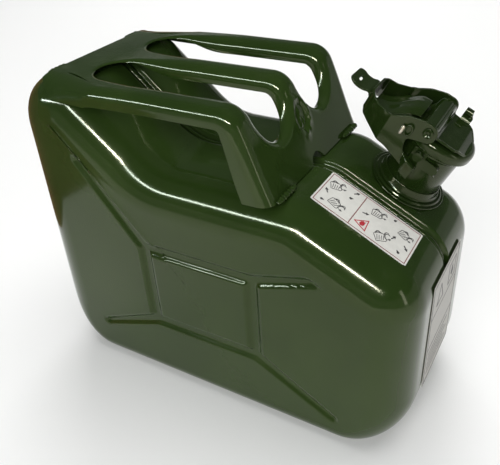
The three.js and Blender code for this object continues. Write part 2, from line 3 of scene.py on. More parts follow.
import bpy
import bmesh
import numpy as np
from mathutils import Matrix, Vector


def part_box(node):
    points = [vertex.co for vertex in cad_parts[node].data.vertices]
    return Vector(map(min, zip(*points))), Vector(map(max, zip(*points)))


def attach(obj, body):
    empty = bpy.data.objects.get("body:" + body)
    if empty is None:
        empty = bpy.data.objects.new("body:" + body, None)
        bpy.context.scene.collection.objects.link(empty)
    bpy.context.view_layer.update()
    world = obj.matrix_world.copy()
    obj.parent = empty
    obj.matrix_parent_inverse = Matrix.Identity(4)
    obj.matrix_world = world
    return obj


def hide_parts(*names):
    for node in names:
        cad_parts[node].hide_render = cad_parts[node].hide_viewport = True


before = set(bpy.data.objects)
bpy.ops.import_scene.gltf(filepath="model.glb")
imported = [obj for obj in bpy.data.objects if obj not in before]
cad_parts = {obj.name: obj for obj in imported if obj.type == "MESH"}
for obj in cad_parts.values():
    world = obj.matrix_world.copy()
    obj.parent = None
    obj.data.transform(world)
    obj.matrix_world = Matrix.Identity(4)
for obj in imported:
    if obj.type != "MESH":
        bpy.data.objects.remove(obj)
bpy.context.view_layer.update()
print("frame loaded")

mm = 0.001  # all sizes of the can are in millimetres, and those of the room and the camera in metres


# Faces of a grid of rows and columns, as index quads; a closed way joins its last line to its first.
def gridFaces(rows, cols, closeRows=False, closeCols=False):
    i = np.arange(rows if closeRows else rows - 1)[:, None]
    j = np.arange(cols if closeCols else cols - 1)[None, :]
    i2, j2 = (i + 1) % rows, (j + 1) % cols
    quads = np.broadcast_arrays(i * cols + j, i * cols + j2, i2 * cols + j2, i2 * cols + j)
    return np.stack(quads, -1).reshape(-1, 4)


# A grid of points and its faces, ready for makePiece.
def sheetOf(points, closeRows=False, closeCols=False):
    rows, cols = points.shape[:2]
    return points.reshape(-1, 3), gridFaces(rows, cols, closeRows, closeCols).tolist()


# A straight run and an arc for each corner (a, b, radius), sampled evenly along the whole length.
# Gives the points and their normals, which point out of a counterclockwise loop.
def roundedPath(corners, count, closed=False):
    corner = np.array([c[:2] for c in corners], float)
    radius = np.array([c[2] if len(c) > 2 else 0.0 for c in corners])
    n = len(corners)
    runs = []
    last = None
    order = list(range(n)) + ([0] if closed else [])
    for step, i in enumerate(order):
        isEnd = not closed and i in (0, n - 1)
        before, after = corner[i - 1], corner[(i + 1) % n]
        if isEnd:
            start = end = corner[i]
            turn = 0.0
        else:
            d1 = (corner[i] - before) / np.linalg.norm(corner[i] - before)
            d2 = (after - corner[i]) / np.linalg.norm(after - corner[i])
            turn = math.atan2(d1[0] * d2[1] - d1[1] * d2[0], float(d1 @ d2))
            reach = radius[i] * math.tan(abs(turn) / 2)
            start, end = corner[i] - d1 * reach, corner[i] + d2 * reach
        if last is not None:
            runs.append(("line", last, start, 0.0, 0.0))
        if closed and step == n:
            break
        if radius[i] > 0 and not isEnd:
            side = math.copysign(1.0, turn)
            centre = start + np.array([-d1[1], d1[0]]) * radius[i] * side
            runs.append(("arc", centre, math.atan2(d1[1], d1[0]), turn, radius[i] * side))
        last = end
    lengths = np.array([np.linalg.norm(r[2] - r[1]) if r[0] == "line" else abs(r[3] * r[4]) for r in runs])
    total = lengths.sum()
    at = np.linspace(0, total, count, endpoint=not closed)
    ends = np.cumsum(lengths)
    which = np.minimum(np.searchsorted(ends, at, side="right"), len(runs) - 1)
    points = np.zeros((count, 2))
    normals = np.zeros((count, 2))
    for k, run in enumerate(runs):
        here = which == k
        if not here.any() or lengths[k] < 1e-9:
            continue
        t = np.clip((at[here] - (ends[k] - lengths[k])) / lengths[k], 0, 1)[:, None]
        if run[0] == "line":
            along = (run[2] - run[1]) / lengths[k]
            points[here] = run[1] + (run[2] - run[1]) * t
            normals[here] = [along[1], -along[0]]
        else:
            a = run[2] + run[3] * t[:, 0]
            normal = np.stack([np.sin(a), -np.cos(a)], -1)
            points[here] = run[1] + normal * run[4]
            normals[here] = normal
    return points, normals


# Goes from 0 at low to 1 at high with level ends: three times the square less twice the cube.
def smooth(t, low=0.0, high=1.0):
    t = np.clip((np.asarray(t, float) - low) / (high - low), 0, 1)
    return t * t * (3 - 2 * t)


# Puts parts together into one mesh in millimetres, merges what meets, and turns the faces out:
# the face furthest along facing has to look that way.
def makePiece(name, parts, body, material, replaces=(), facing=(0, 0, 1),
              thickness=0.0, bevel=0.0, sharp=40, merge=0.004):
    points, faces, base = [], [], 0
    for p, f in parts:
        points.append(np.asarray(p, float))
        faces += [[k + base for k in face] for face in f]
        base += len(p)
    mesh = bpy.data.meshes.new(name)
    mesh.from_pydata((np.concatenate(points) * mm).tolist(), [], faces)
    bm = bmesh.new()
    bm.from_mesh(mesh)
    bmesh.ops.remove_doubles(bm, verts=bm.verts, dist=merge * mm)
    bmesh.ops.dissolve_degenerate(bm, edges=bm.edges, dist=merge * mm * 0.5)
    bmesh.ops.recalc_face_normals(bm, faces=bm.faces)
    bm.faces.ensure_lookup_table()
    centres = np.array([f.calc_center_median() for f in bm.faces])
    normals = np.array([f.normal for f in bm.faces])
    far = np.argsort(centres @ np.array(facing, float))[-max(3, len(centres) // 200):]
    if (normals[far] @ np.array(facing, float)).sum() < 0:
        bmesh.ops.reverse_faces(bm, faces=bm.faces)
    bm.to_mesh(mesh)
    bm.free()
    mesh.polygons.foreach_set("use_smooth", np.ones(len(mesh.polygons), bool))
    mesh.set_sharp_from_angle(angle=math.radians(sharp))
    obj = bpy.data.objects.new(name, mesh)
    bpy.context.scene.collection.objects.link(obj)
    mesh.materials.append(material)
    if thickness:
        wall = obj.modifiers.new("sheet", "SOLIDIFY")
        wall.thickness = thickness * mm
        wall.offset = -1
    if bevel:
        edge = obj.modifiers.new("softEdges", "BEVEL")
        edge.width = bevel * mm
        edge.segments = 2
        edge.limit_method = "ANGLE"
        edge.angle_limit = math.radians(38)
        edge.harden_normals = True
    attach(obj, body)
    if replaces:
        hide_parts(*replaces)
    return obj


# One socket of a node tree, so that values can be worked out with + and *.
class Value:
    def __init__(self, brew, socket):
        self.brew, self.socket = brew, socket

    def maths(self, operation, first, second):
        return self.brew.add("ShaderNodeMath", {"operation": operation}, {0: first, 1: second})

    def __add__(self, other): return self.maths("ADD", self, other)
    def __radd__(self, other): return self.maths("ADD", other, self)
    def __mul__(self, other): return self.maths("MULTIPLY", self, other)
    def __rmul__(self, other): return self.maths("MULTIPLY", other, self)


# A material's tree. add() takes a node's type, its settings and what goes into its sockets.
class Brew:
    def __init__(self, name):
        self.material = bpy.data.materials.new(name)
        self.material.use_nodes = True
        self.tree = self.material.node_tree
        self.tree.nodes.clear()

    def add(self, kind, settings=None, inputs=None, out=0):
        node = self.tree.nodes.new(kind)
        for key, value in (settings or {}).items():
            setattr(node, key, value)
        for key, value in (inputs or {}).items():
            socket = node.inputs[key]
            if isinstance(value, Value):
                self.tree.links.new(value.socket, socket)
            else:
                socket.default_value = value
        return Value(self, node.outputs[out])

    def place(self):
        return self.add("ShaderNodeTexCoord", out="Object")

    def noise(self, scale, detail=2.0, rough=0.5, vector=None):
        return self.add("ShaderNodeTexNoise", {}, {"Vector": vector or self.place(), "Scale": scale,
                                                   "Detail": detail, "Roughness": rough}, out="Fac")

    def stretch(self, vector, scale):
        return self.add("ShaderNodeVectorMath", {"operation": "MULTIPLY"}, {0: vector, 1: scale})

    def blend(self, mask, a, b):
        return self.add("ShaderNodeMix", {"data_type": "RGBA"}, {"Factor": mask, 6: a, 7: b}, out=2)

    def band(self, value, low, high):
        return self.add("ShaderNodeMapRange", {"interpolation_type": "SMOOTHSTEP"},
                        {"Value": value, "From Min": low, "From Max": high})

    def bump(self, height, strength, distance):
        return self.add("ShaderNodeBump", {}, {"Height": height, "Strength": strength,
                                               "Distance": distance})

    def finish(self, inputs):
        shader = self.add("ShaderNodeBsdfPrincipled", {}, inputs)
        output = self.tree.nodes.new("ShaderNodeOutputMaterial")
        self.tree.links.new(shader.socket, output.inputs["Surface"])
        return self.material


# A colour times a number, with full alpha.
def shaded(colour, factor, lift=0.0):
    return tuple(min(1, c * factor + lift) for c in colour[:3]) + (1,)


enamel = {
    "deep": (0.0140, 0.0300, 0.0052, 1), "light": (0.0210, 0.0405, 0.0080, 1), "dust": (0.16, 0.16, 0.12, 1),
    # tint: a warm tint on the gloss, a painted reflection colour that stands in for a warm brownish room mirrored in
    # the paint
    "tint": (1.0, 0.97, 0.66, 1), "ior": 1.40, "roughness": 0.10, "coat": 0.10, "coatRoughness": 0.05,
    "drift": 9, "peel": 420, "wave": 34, "grit": 1500, "smear": 26, "specks": 60, "beads": 240,  # sizes of the noises
    "dustShare": 0.05, "bump": 0.32, "bumpDepth": 0.00022, "beadBump": 0.6, "beadDepth": 0.0012,
}


# Stoved gloss enamel on pressed steel: slow colour drift, orange peel, a breath of dust on what
# looks up, and drips of thicker paint. heavy raises the texture for welds.
def makeEnamel(name, shade=1.0, heavy=0.0, rough=0.0):
    b = Brew(name)
    e = enamel
    drift = b.noise(e["drift"], 3)
    peel = b.noise(e["peel"], 2, 0.6)
    wave = b.noise(e["wave"], 1, 0.4)
    grit = b.noise(e["grit"], 1, 0.5)
    up = b.add("ShaderNodeSeparateXYZ", {}, {0: b.add("ShaderNodeNewGeometry", out="Normal")}, out=2)
    dust = b.band(b.noise(e["specks"], 5, 0.65), 0.52, 0.8) * b.band(up, 0.3, 1.0)
    coat = b.blend(b.band(drift, 0.3, 0.7), shaded(e["deep"], shade), shaded(e["light"], shade))
    colour = b.blend(dust * e["dustShare"], coat, e["dust"])
    roughness = e["roughness"] + rough + b.band(b.noise(e["smear"], 4), 0.35, 0.8) * 0.05 + dust * 0.12
    normal = b.bump(peel * 0.35 + wave + grit * 0.06, e["bump"], e["bumpDepth"])
    if heavy:
        beads = b.noise(e["beads"], 3, 0.6)
        normal = b.add("ShaderNodeBump", {}, {"Height": beads, "Strength": e["beadBump"] * heavy,
                                              "Distance": e["beadDepth"], "Normal": normal})
    return b.finish({"Base Color": colour, "Roughness": roughness, "Normal": normal, "IOR": e["ior"],
                     "Specular Tint": e["tint"], "Coat Weight": e["coat"], "Coat Roughness": e["coatRoughness"]})


straw = {"dark": (0.55, 0.47, 0.33, 1), "bright": (0.80, 0.74, 0.62, 1), "mottle": 700, "rub": 300,
         "roughness": 0.25, "bumpDepth": 0.0002}


# Yellow passivated zinc: rubbed streaks over a mottled straw colour.
def makeZinc():
    b = Brew("strawZinc")
    mottle = b.noise(straw["mottle"], 4, 0.6)
    rub = b.noise(straw["rub"], 2, 0.5, b.stretch(b.place(), (1, 8, 1)))
    return b.finish({"Base Color": b.blend(b.band(mottle, 0.3, 0.7), straw["dark"], straw["bright"]),
                     "Metallic": 1.0, "Roughness": straw["roughness"] + rub * 0.25,
                     "Normal": b.bump(rub, 0.2, straw["bumpDepth"])})


seal = {"dark": (0.012, 0.012, 0.012, 1), "light": (0.03, 0.03, 0.028, 1), "grain": 1600,
        "roughness": 0.62, "bumpDepth": 0.0001}


# Black rubber with a fine matt grain.
def makeRubber():
    b = Brew("sealRubber")
    grain = b.noise(seal["grain"], 3, 0.6)
    return b.finish({"Base Color": b.blend(grain, seal["dark"], seal["light"]),
                     "Roughness": seal["roughness"] + grain * 0.15,
                     "Normal": b.bump(grain, 0.3, seal["bumpDepth"])})


printed = {
    "shoulder": (0.66, 0.655, 0.61, 1), "front": (0.40, 0.385, 0.345, 1),
    "dark": (0.03, 0.028, 0.03, 1), "red": (0.36, 0.02, 0.03, 1), "border": (0.16, 0.035, 0.035, 1),
    "filmMottle": 180, "filmRoughness": 0.32, "filmBump": 600, "inkMottle": 900, "inkRoughness": 0.42,
}


# Printed film: off white vinyl with a faint mottling and a soft gloss.
def makeFilm(name, colour):
    b = Brew(name)
    mottle = b.noise(printed["filmMottle"], 4, 0.6)
    return b.finish({"Base Color": b.blend(b.band(mottle, 0.35, 0.7), shaded(colour, 0.93), colour),
                     "Roughness": printed["filmRoughness"] + mottle * 0.12,
                     "Normal": b.bump(b.noise(printed["filmBump"], 2), 0.08, 0.0001)})


# Ink: one colour with paler specks.
def makeInk(name, colour):
    b = Brew(name)
    mottle = b.noise(printed["inkMottle"], 3, 0.6)
    return b.finish({"Base Color": b.blend(mottle * 0.6, colour, shaded(colour, 1.35, 0.01)),
                     "Roughness": printed["inkRoughness"] + mottle * 0.1})


paint = makeEnamel("oliveEnamel")
weldPaint = makeEnamel("oliveEnamelWeld", 0.9, 1.0, 0.03)
# The closure pieces get a darker copy of the enamel: painted shade for the shade that falls on the neck, lever and
# cap.
closureShadedPaint = makeEnamel("oliveEnamelClosureShaded", 0.62)
# The breather tube inside the neck gets a darker copy too: painted shade for the dark inside of the neck. Its
# rougher, heavier texture is the paint's own.
innerShadedPaint = makeEnamel("oliveEnamelInsideShaded", 0.6, 0.3, 0.25)
zinc = makeZinc()
rubber = makeRubber()
film = makeFilm("labelFilm", printed["shoulder"])
frontFilm = makeFilm("frontFilm", printed["front"])
inkDark = makeInk("inkDark", printed["dark"])
inkRed = makeInk("inkRed", printed["red"])
inkBorder = makeInk("inkBorder", printed["border"])
print("materials made")


# Lowest and highest corner of a CAD node's box, in millimetres.
def boxOf(node):
    return (np.array(corner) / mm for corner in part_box(node))


shellLow, shellHigh = boxOf("shell_near")
halfLength, canTop = shellHigh[0], shellHigh[2]
halfWidth = -shellLow[1]
can = {
    "rearDraw": 38.0, "frontDraw": 34.0, "topDraw": 30.0, "footDraw": 15.0,
    "humpFrontX": -114.0, "troughRearX": -45.0, "troughTop": 208.5, "troughRadius": 52.0,
    "crestX": 80.0, "crestTop": 207.0, "slope": 27.5,
    "channelDepth": 4.0, "channelHalf": 4.1, "channelEase": 0.4, "channelEnd": 6.5,
    "channelRows": (0.15, 1.6, 3.2, 3.9, 4.4, 4.9, 5.5, 6.1, 6.7, 7.4, 8.4, 11),
    "crossCentre": 106.0, "ringHalf": (49.5, 38.0), "ringCorner": 5, "groove": 11.5, "grooveDepth": 3.1,
    "grooveSide": (-3.0, 0.8), "arms": ((-106, 212), (-112, 41), (120, 165), (117, 27)), "armTaper": 2.0, "melt": 0.8,
    "crown": 0.9, "sheet": 1.0, "around": 380, "rimRows": 15, "panelRows": 84, "evenBy": 0.3,
}
slopeAngle = math.radians(can["slope"])
frontTop = can["crestTop"] - (halfLength - can["crestX"]) * math.tan(slopeAngle)
canOutline, canNormal = roundedPath([
    (-halfLength, 0, 57), (halfLength, 0, 53), (halfLength, frontTop, 36),
    (can["crestX"], can["crestTop"], 45), (can["troughRearX"], can["troughTop"], can["troughRadius"]),
    (can["humpFrontX"], canTop, 34), (-halfLength, canTop, 40)], can["around"], closed=True)


# Radius between rim and side panel: each way that the rim faces has its own, mixed by the squares
# of the normal.
def drawRadius(normal):
    nx, nz = normal[..., 0], normal[..., 1]
    upright = np.where(nx < 0, can["rearDraw"], can["frontDraw"])
    level = np.where(nz < 0, can["footDraw"], can["topDraw"])
    return nx * nx * upright + nz * nz * level


# Depth of the pressed cross at x, z: a ring with rounded corners and four tapering arms, each a
# distance turned into a soft sided trough.
def crossDepth(x, z):
    half, corner, melt = can["groove"] / 2, can["ringCorner"], can["melt"]
    ringX, ringZ = can["ringHalf"]
    qx, qz = np.abs(x) - ringX + corner, np.abs(z - can["crossCentre"]) - ringZ + corner
    outside = np.hypot(np.maximum(qx, 0), np.maximum(qz, 0)) + np.minimum(np.maximum(qx, qz), 0) - corner
    away = np.abs(outside) - half
    for endX, endZ in can["arms"]:
        startX = math.copysign(ringX, endX)
        startZ = can["crossCentre"] + math.copysign(ringZ, endZ - can["crossCentre"])
        vx, vz = endX - startX, endZ - startZ
        t = np.clip(((x - startX) * vx + (z - startZ) * vz) / (vx * vx + vz * vz), 0, 1)
        arm = np.hypot(x - startX - vx * t, z - startZ - vz * t) - half + can["armTaper"] * t
        away = -np.log(np.exp(-away / melt) + np.exp(-arm / melt)) * melt
    return can["grooveDepth"] * (1 - smooth(away, *can["grooveSide"]))


# Half of the can. Across: seam, channel floor, channel side, rim, quarter round, then the side panel
# as the rim's line shrunk towards the middle of the cross. Along: once round the outline.
def halfShell(sign):
    radius = drawRadius(canNormal)
    rows = []
    for y in can["channelRows"]:
        depth = can["channelDepth"] * (1 - smooth(y, can["channelHalf"] - can["channelEase"], can["channelEnd"]))
        rows.append((np.full(len(radius), float(y)), np.full(len(radius), depth)))
    flatStart = can["channelRows"][-1]
    for t in (0.35, 0.7):
        rows.append((flatStart + (halfWidth - radius - flatStart) * t, np.zeros(len(radius))))
    for a in np.linspace(0, math.pi / 2, can["rimRows"]):
        rows.append((halfWidth - radius + radius * math.sin(a), radius * (1 - math.cos(a))))
    rim = [np.stack([canOutline[:, 0] - canNormal[:, 0] * d, sign * y,
                     canOutline[:, 1] - canNormal[:, 1] * d], -1) for y, d in rows]
    edge = rim[-1][:, [0, 2]]
    # further in, the columns slide along to an even spacing, so that none bunch up in the panel
    run = np.concatenate([[0], np.cumsum(np.hypot(*np.diff(np.vstack([edge, edge[:1]]), axis=0).T))])
    even = np.linspace(0, run[-1], len(edge), endpoint=False)
    evenEdge = np.stack([np.interp(even, run, np.append(edge[:, k], edge[0, k])) for k in (0, 1)], -1)
    t = np.linspace(0, 1, can["panelRows"] + 1)[1:, None]
    share = smooth(t, 0, can["evenBy"])
    x, z = (middle + (edge[None, :, k] * (1 - share) + evenEdge[None, :, k] * share - middle) * (1 - t)
            for k, middle in ((0, 0.0), (1, can["crossCentre"])))
    y = halfWidth + can["crown"] * smooth(t, 0, 0.8) - crossDepth(x, z) * smooth(t, 0.0, 0.05)
    return np.concatenate([np.array(rim), np.stack([x, sign * y, z], -1)])


# Everything on the neck is drawn with u down the shoulder, y across and w up along the neck.
axisU = np.array([math.cos(slopeAngle), 0, -math.sin(slopeAngle)])
axisY = np.array([0.0, 1, 0])
axisW = np.array([math.sin(slopeAngle), 0, math.cos(slopeAngle)])
neckSize = {"x": 125.0, "y": 41.0, "root": -4.0, "top": 43.0, "radius": 22.6, "wall": 1.5,
            "lip": 23.8, "lipHeight": 3.4, "hole": 24.5, "holeReach": 40}  # hole: the opening in the half under it
neckOrigin = np.array([neckSize["x"], neckSize["y"],
                       can["crestTop"] - (neckSize["x"] - can["crestX"]) * math.tan(slopeAngle)])


# From u, y, w on the neck to the can.
def fromNeck(points):
    points = np.asarray(points, float)
    return neckOrigin + points[..., :1] * axisU + points[..., 1:2] * axisY + points[..., 2:] * axisW


# Both halves, each a single sheet with its wall added inwards.
def buildShells():
    for sign, node in ((-1, "shell_near"), (1, "shell_far")):
        grid = halfShell(sign)
        points, faces = sheetOf(grid, closeCols=True)
        if sign > 0:  # the hole for the neck, whose edge the collar covers
            centre = points[np.array(faces)].mean(1) - neckOrigin
            along = centre @ axisW
            off = np.linalg.norm(centre - along[:, None] * axisW, axis=1)
            keep = (off > neckSize["hole"]) | (np.abs(along) > neckSize["holeReach"])
            faces = np.array(faces)[keep].tolist()
        makePiece("half" + node[6:].title(), [(points, faces)], "can", paint,
                  [node], facing=(0, sign, 0), thickness=can["sheet"], sharp=60)


seam = {"half": 2.5, "rise": 2.0, "sink": 0.25, "floor": 0.35, "around": 14}


# The welded joint: a low round ridge along the bottom of the channel, a little uneven in height.
def buildSeam():
    a = np.linspace(0, 2 * math.pi, seam["around"], endpoint=False)
    up = np.where(np.sin(a) > 0, seam["rise"] * np.sin(a), seam["sink"] * np.sin(a))
    s = np.arange(len(canOutline))
    uneven = 1 + 0.05 * np.sin(s * 0.9) + 0.04 * np.sin(s * 2.3 + 1)
    depth = can["channelDepth"] - seam["floor"] - up[:, None] * uneven[None, :]
    grid = np.stack([canOutline[None, :, 0] - canNormal[None, :, 0] * depth,
                     np.broadcast_to(seam["half"] * np.cos(a)[:, None], depth.shape),
                     canOutline[None, :, 1] - canNormal[None, :, 1] * depth], -1)
    makePiece("seamRidge", [sheetOf(grid, True, True)], "can", weldPaint, ["seam_weld"])


buildShells()
buildSeam()
print("halves and seam built")


handle = {
    "rearX": -140.0, "bendX": 38.5, "bend": 17.0, "footX": 67.0, "sheet": 1.6,
    "half": 79.5, "bar": 67.5, "rearFlat": 54.0, "roll": 10.0,
    "slotMiddle": 33.3, "slotHalf": 21.5, "slotRear": -108.0, "slotLow": 239.0,
    "rearEnd": 24.0, "frontEnd": 27.0, "rise": 2.0,
    "rollRear": 2.2, "rollRun": 62, "turnRear": 1.05, "turnMore": 0.75, "turnRun": 50,  # the slots' rolled edge
    "archHalf": 8.5, "archRun": 26,  # the notch in the foot over the seam
    "openRoll": 21, "openTurn": 36, "flange": 3.2, "footFlange": 7.0, "corner": 16,  # the outer edge
}
handleLow, handleHigh = boxOf("handle_pressing")
handleTop, footZ = handleHigh[2], handleLow[2]
frontRun = np.array([handle["footX"] - handle["bendX"], footZ - handleTop])
frontDown = math.atan2(-frontRun[1], frontRun[0])
bendReach = handle["bend"] * math.tan(frontDown / 2)
flatRun = handle["bendX"] - bendReach - handle["rearX"]
bendRun = handle["bend"] * frontDown
slopeRun = np.linalg.norm(frontRun) - bendReach
handleRun = flatRun + bendRun + slopeRun


# The handle's line from the side: level, then an arc, then straight down to the foot. drop is how far
# below its top surface a point lies.
def onHandle(s, v, drop):
    s, v, drop = np.broadcast_arrays(np.asarray(s, float), np.asarray(v, float), np.asarray(drop, float))
    a = np.clip((s - flatRun) / handle["bend"], 0, frontDown)
    drop = drop - handle["rise"] * smooth(s, 30, 110) * (1 - smooth(s, flatRun + bendRun, handleRun))
    past = np.maximum(s - flatRun - bendRun, 0)
    x = handle["rearX"] + np.minimum(s, flatRun) + handle["bend"] * np.sin(a) + past * math.cos(frontDown)
    z = handleTop - handle["bend"] * (1 - np.cos(a)) - past * math.sin(frontDown)
    x, z = x - np.sin(a) * drop, z - np.cos(a) * drop
    short = np.maximum(footZ + 0.1 - z, 0) / math.sin(frontDown)  # what would pass the foot slides back up
    return np.stack([x - np.cos(a) * short, v, z + np.sin(a) * short], -1)


# Where a slot begins and ends, as run along the handle.
def slotStart():
    return handle["slotRear"] - handle["rearX"]


def slotFinish():
    bendEndZ = handleTop - handle["bend"] * (1 - math.cos(frontDown))
    return flatRun + bendRun + (bendEndZ - handle["slotLow"]) / math.sin(frontDown)


# Half the width at which the outer roll begins, along the handle.
def flatHalf(s):
    return handle["rearFlat"] + (handle["bar"] - handle["rearFlat"]) * smooth(s, 18, 62)


# One slot and the sheet round it. Around: the slot's edge, two straight sides and two half ellipses.
# Outwards: the rolled edge as an arc, then straight lines out to the middle of the handle, its rear
# edge, its foot and the line where the outer roll begins.
def slotPatch(sign):
    start, finish = slotStart(), slotFinish()
    s0, s1 = start + handle["rearEnd"], finish - handle["frontEnd"]
    vc, hw = handle["slotMiddle"], handle["slotHalf"]
    straight = np.linspace(s0, s1, 54)[1:-1]
    rearAngles = np.linspace(math.pi / 2, 3 * math.pi / 2, 41)
    frontAngles = np.linspace(-math.pi / 2, math.pi / 2, 45)
    cornersRear = [math.atan2(flatHalf(0) - vc, -s0), 2 * math.pi + math.atan2(-vc, -s0)]
    cornersFront = [math.atan2(-vc, handleRun - s1), math.atan2(flatHalf(handleRun) - vc, handleRun - s1)]
    for angles, corners in ((rearAngles, cornersRear), (frontAngles, cornersFront)):
        for c in corners:
            angles[np.argmin(np.abs(angles - c))] = c

    # one half ellipse of the slot, and where its rays meet the handle's middle, ends or tapering side
    def capPoints(angles, centre, reach):
        direction = np.stack([np.cos(angles), np.sin(angles)], -1)
        local = np.stack([direction[:, 0] * reach, direction[:, 1] * hw], -1)
        normal = np.stack([direction[:, 0] * hw, direction[:, 1] * reach], -1)
        normal /= np.linalg.norm(normal, axis=1)[:, None]
        limitS = np.where(direction[:, 0] < 0, -centre, handleRun - centre) / np.where(
            np.abs(direction[:, 0]) < 1e-9, 1e-9, direction[:, 0])
        hitS = np.where(limitS > 0, limitS, 1e9)
        out = np.full(len(angles), flatHalf(centre))
        for _ in range(6):  # the side tapers, so each pass uses the width where the last one met it
            limitV = np.where(direction[:, 1] > 0, out - vc, -vc) / np.where(
                np.abs(direction[:, 1]) < 1e-9, 1e-9, direction[:, 1])
            hitV = np.where(limitV > 0, limitV, 1e9)
            hit = np.minimum(hitS, hitV)
            out = flatHalf(centre + direction[:, 0] * hit)
        edge = np.stack([centre + direction[:, 0] * hit, vc + direction[:, 1] * hit], -1)
        return np.stack([centre + local[:, 0], vc + local[:, 1]], -1), normal, edge

    outerSide = np.stack([straight[::-1], np.full(len(straight), vc + hw)], -1)
    innerSide = np.stack([straight, np.full(len(straight), vc - hw)], -1)
    rear, rearN, rearE = capPoints(rearAngles, s0, handle["rearEnd"])
    front, frontN, frontE = capPoints(frontAngles, s1, handle["frontEnd"])
    loop = np.concatenate([outerSide, rear, innerSide, front])
    normal = np.concatenate([np.tile([0.0, 1.0], (len(straight), 1)), rearN,
                             np.tile([0.0, -1.0], (len(straight), 1)), frontN])
    edge = np.concatenate([np.stack([outerSide[:, 0], flatHalf(outerSide[:, 0])], -1), rearE,
                           np.stack([innerSide[:, 0], np.zeros(len(straight))], -1), frontE])
    s = loop[:, 0]
    toBar = smooth(s, start - 2, start + handle["rollRun"])
    toFoot = smooth(s, finish - 34, finish)
    roll = handle["rollRear"] + (handle["roll"] - handle["rollRear"]) * toBar * (1 - 0.45 * toFoot)
    most = handle["turnRear"] + handle["turnMore"] * smooth(s, start, start + handle["turnRun"])
    base = loop + normal * roll[:, None]
    rows = []
    for k in np.linspace(1, 0, 12):
        a = most * k
        at = base - normal * (roll * np.sin(a))[:, None]
        rows.append((at, roll * (1 - np.cos(a))))
    for k in np.linspace(0, 1, 15)[1:]:
        rows.append((base + (edge - base) * k, np.zeros(len(s))))
    grid = []
    for at, drop in rows:
        v = at[:, 1]
        nearFoot = smooth(at[:, 0], handleRun - handle["archRun"], handleRun)
        lift = np.sqrt(np.maximum(handle["archHalf"] ** 2 - v ** 2, 0)) * nearFoot
        grid.append(onHandle(at[:, 0] - lift, sign * v, drop + stamping(at[:, 0], v)))
    onOuter = np.abs(edge[:, 1] - flatHalf(edge[:, 0])) < 1e-6
    return np.array(grid), np.unique(np.round(edge[onOuter, 0], 6))


stamp = {"back": 4, "long": 13.0, "wide": 9.5, "depth": 1.9, "lip": 0.6, "spot": 1.2,
         "spots": ((0.35, 0.2, 0.03), (-0.3, -0.1, 0.04))}


# An oval stamped into the foot plate under the middle bar: a raised rim and a shallow floor with two
# bosses, each a bell curve of the distance from its middle.
def stamping(s, v):
    du, dv = (s - (slotFinish() - stamp["back"])) / stamp["long"], v / stamp["wide"]
    r = np.hypot(du, dv)
    spots = sum(np.exp(-((du - a) ** 2 + (dv - b) ** 2) / spread) for a, b, spread in stamp["spots"])
    rim = np.exp(-((r - 1.1) / 0.12) ** 2)
    return stamp["depth"] * (1 - smooth(r, 0.78, 0.98)) - stamp["lip"] * rim - stamp["spot"] * spots


# The outer edge of the handle at the stations s: flat, an arc, then a flange. The arc opens out over
# the rounded hump at the rear, and the flange widens to the foot.
def outerRoll(sign, s):
    rear = 1 - smooth(s, 20, 60)
    most = math.pi / 2 - rear * math.radians(handle["openTurn"])
    radius = handle["roll"] + handle["openRoll"] * rear
    flat = np.maximum(handle["half"] - flatHalf(s) - radius * np.sin(most), 0)
    radius = np.where(flat <= 0, (handle["half"] - flatHalf(s)) / np.sin(most), radius)
    toFoot = smooth(s, flatRun - 4, handleRun - 6)
    flange = handle["flange"] * (1 - rear) + handle["footFlange"] * toFoot
    short = (handle["corner"] - np.minimum(s, handle["corner"])) / handle["corner"]
    corner = 1 - np.sqrt(np.clip(1 - short ** 2, 0, 1))
    rows = []
    for k in np.linspace(0, 1, 4):
        rows.append((flatHalf(s) + flat * k, np.zeros(len(s))))
    for k in np.linspace(0, 1, 13)[1:]:
        a = most * k * (1 - 0.6 * corner)
        rows.append((flatHalf(s) + flat + radius * np.sin(a), radius * (1 - np.cos(a))))
    lastV, lastDrop = rows[-1]
    for k in np.linspace(0, 1, 6)[1:]:
        rows.append((lastV + np.cos(most) * flange * k, lastDrop + np.sin(most) * flange * k))
    return np.array([onHandle(s, sign * v, drop) for v, drop in rows])


# One pressing: a slot with its sheet and an outer edge on each side of the middle.
def buildHandle():
    parts = []
    for sign in (-1, 1):
        patch, stations = slotPatch(sign)
        parts.append(sheetOf(patch, closeCols=True))
        parts.append(sheetOf(outerRoll(sign, stations)))
    makePiece("threeBarHandle", parts, "can", paint, ["handle_pressing"],
              thickness=handle["sheet"], bevel=0.4, sharp=50, merge=0.02)


buildHandle()
print("handle built")


# A profile of radius and height carried round the neck's axis; squash gives each direction its share
# of the radius.
def turnedPiece(name, corners, count, material, body, replaces, around=96, squash=None):
    profile, _ = roundedPath(corners, count, closed=True)
    a = np.linspace(0, 2 * math.pi, around, endpoint=False)
    r = np.maximum(profile[:, :1], 0) * np.ones(around)
    if squash is not None:
        r = r * squash(a)[None, :]
    w = np.broadcast_to(profile[:, 1:], r.shape)
    grid = fromNeck(np.stack([r * np.cos(a), r * np.sin(a), w], -1))
    makePiece(name, [sheetOf(grid, True, True)], body, material, replaces,
              facing=tuple(axisW), sharp=45)


collar = {"radius": 31.6, "step": 27.4, "stepHeight": 3.4, "root": 9.0}


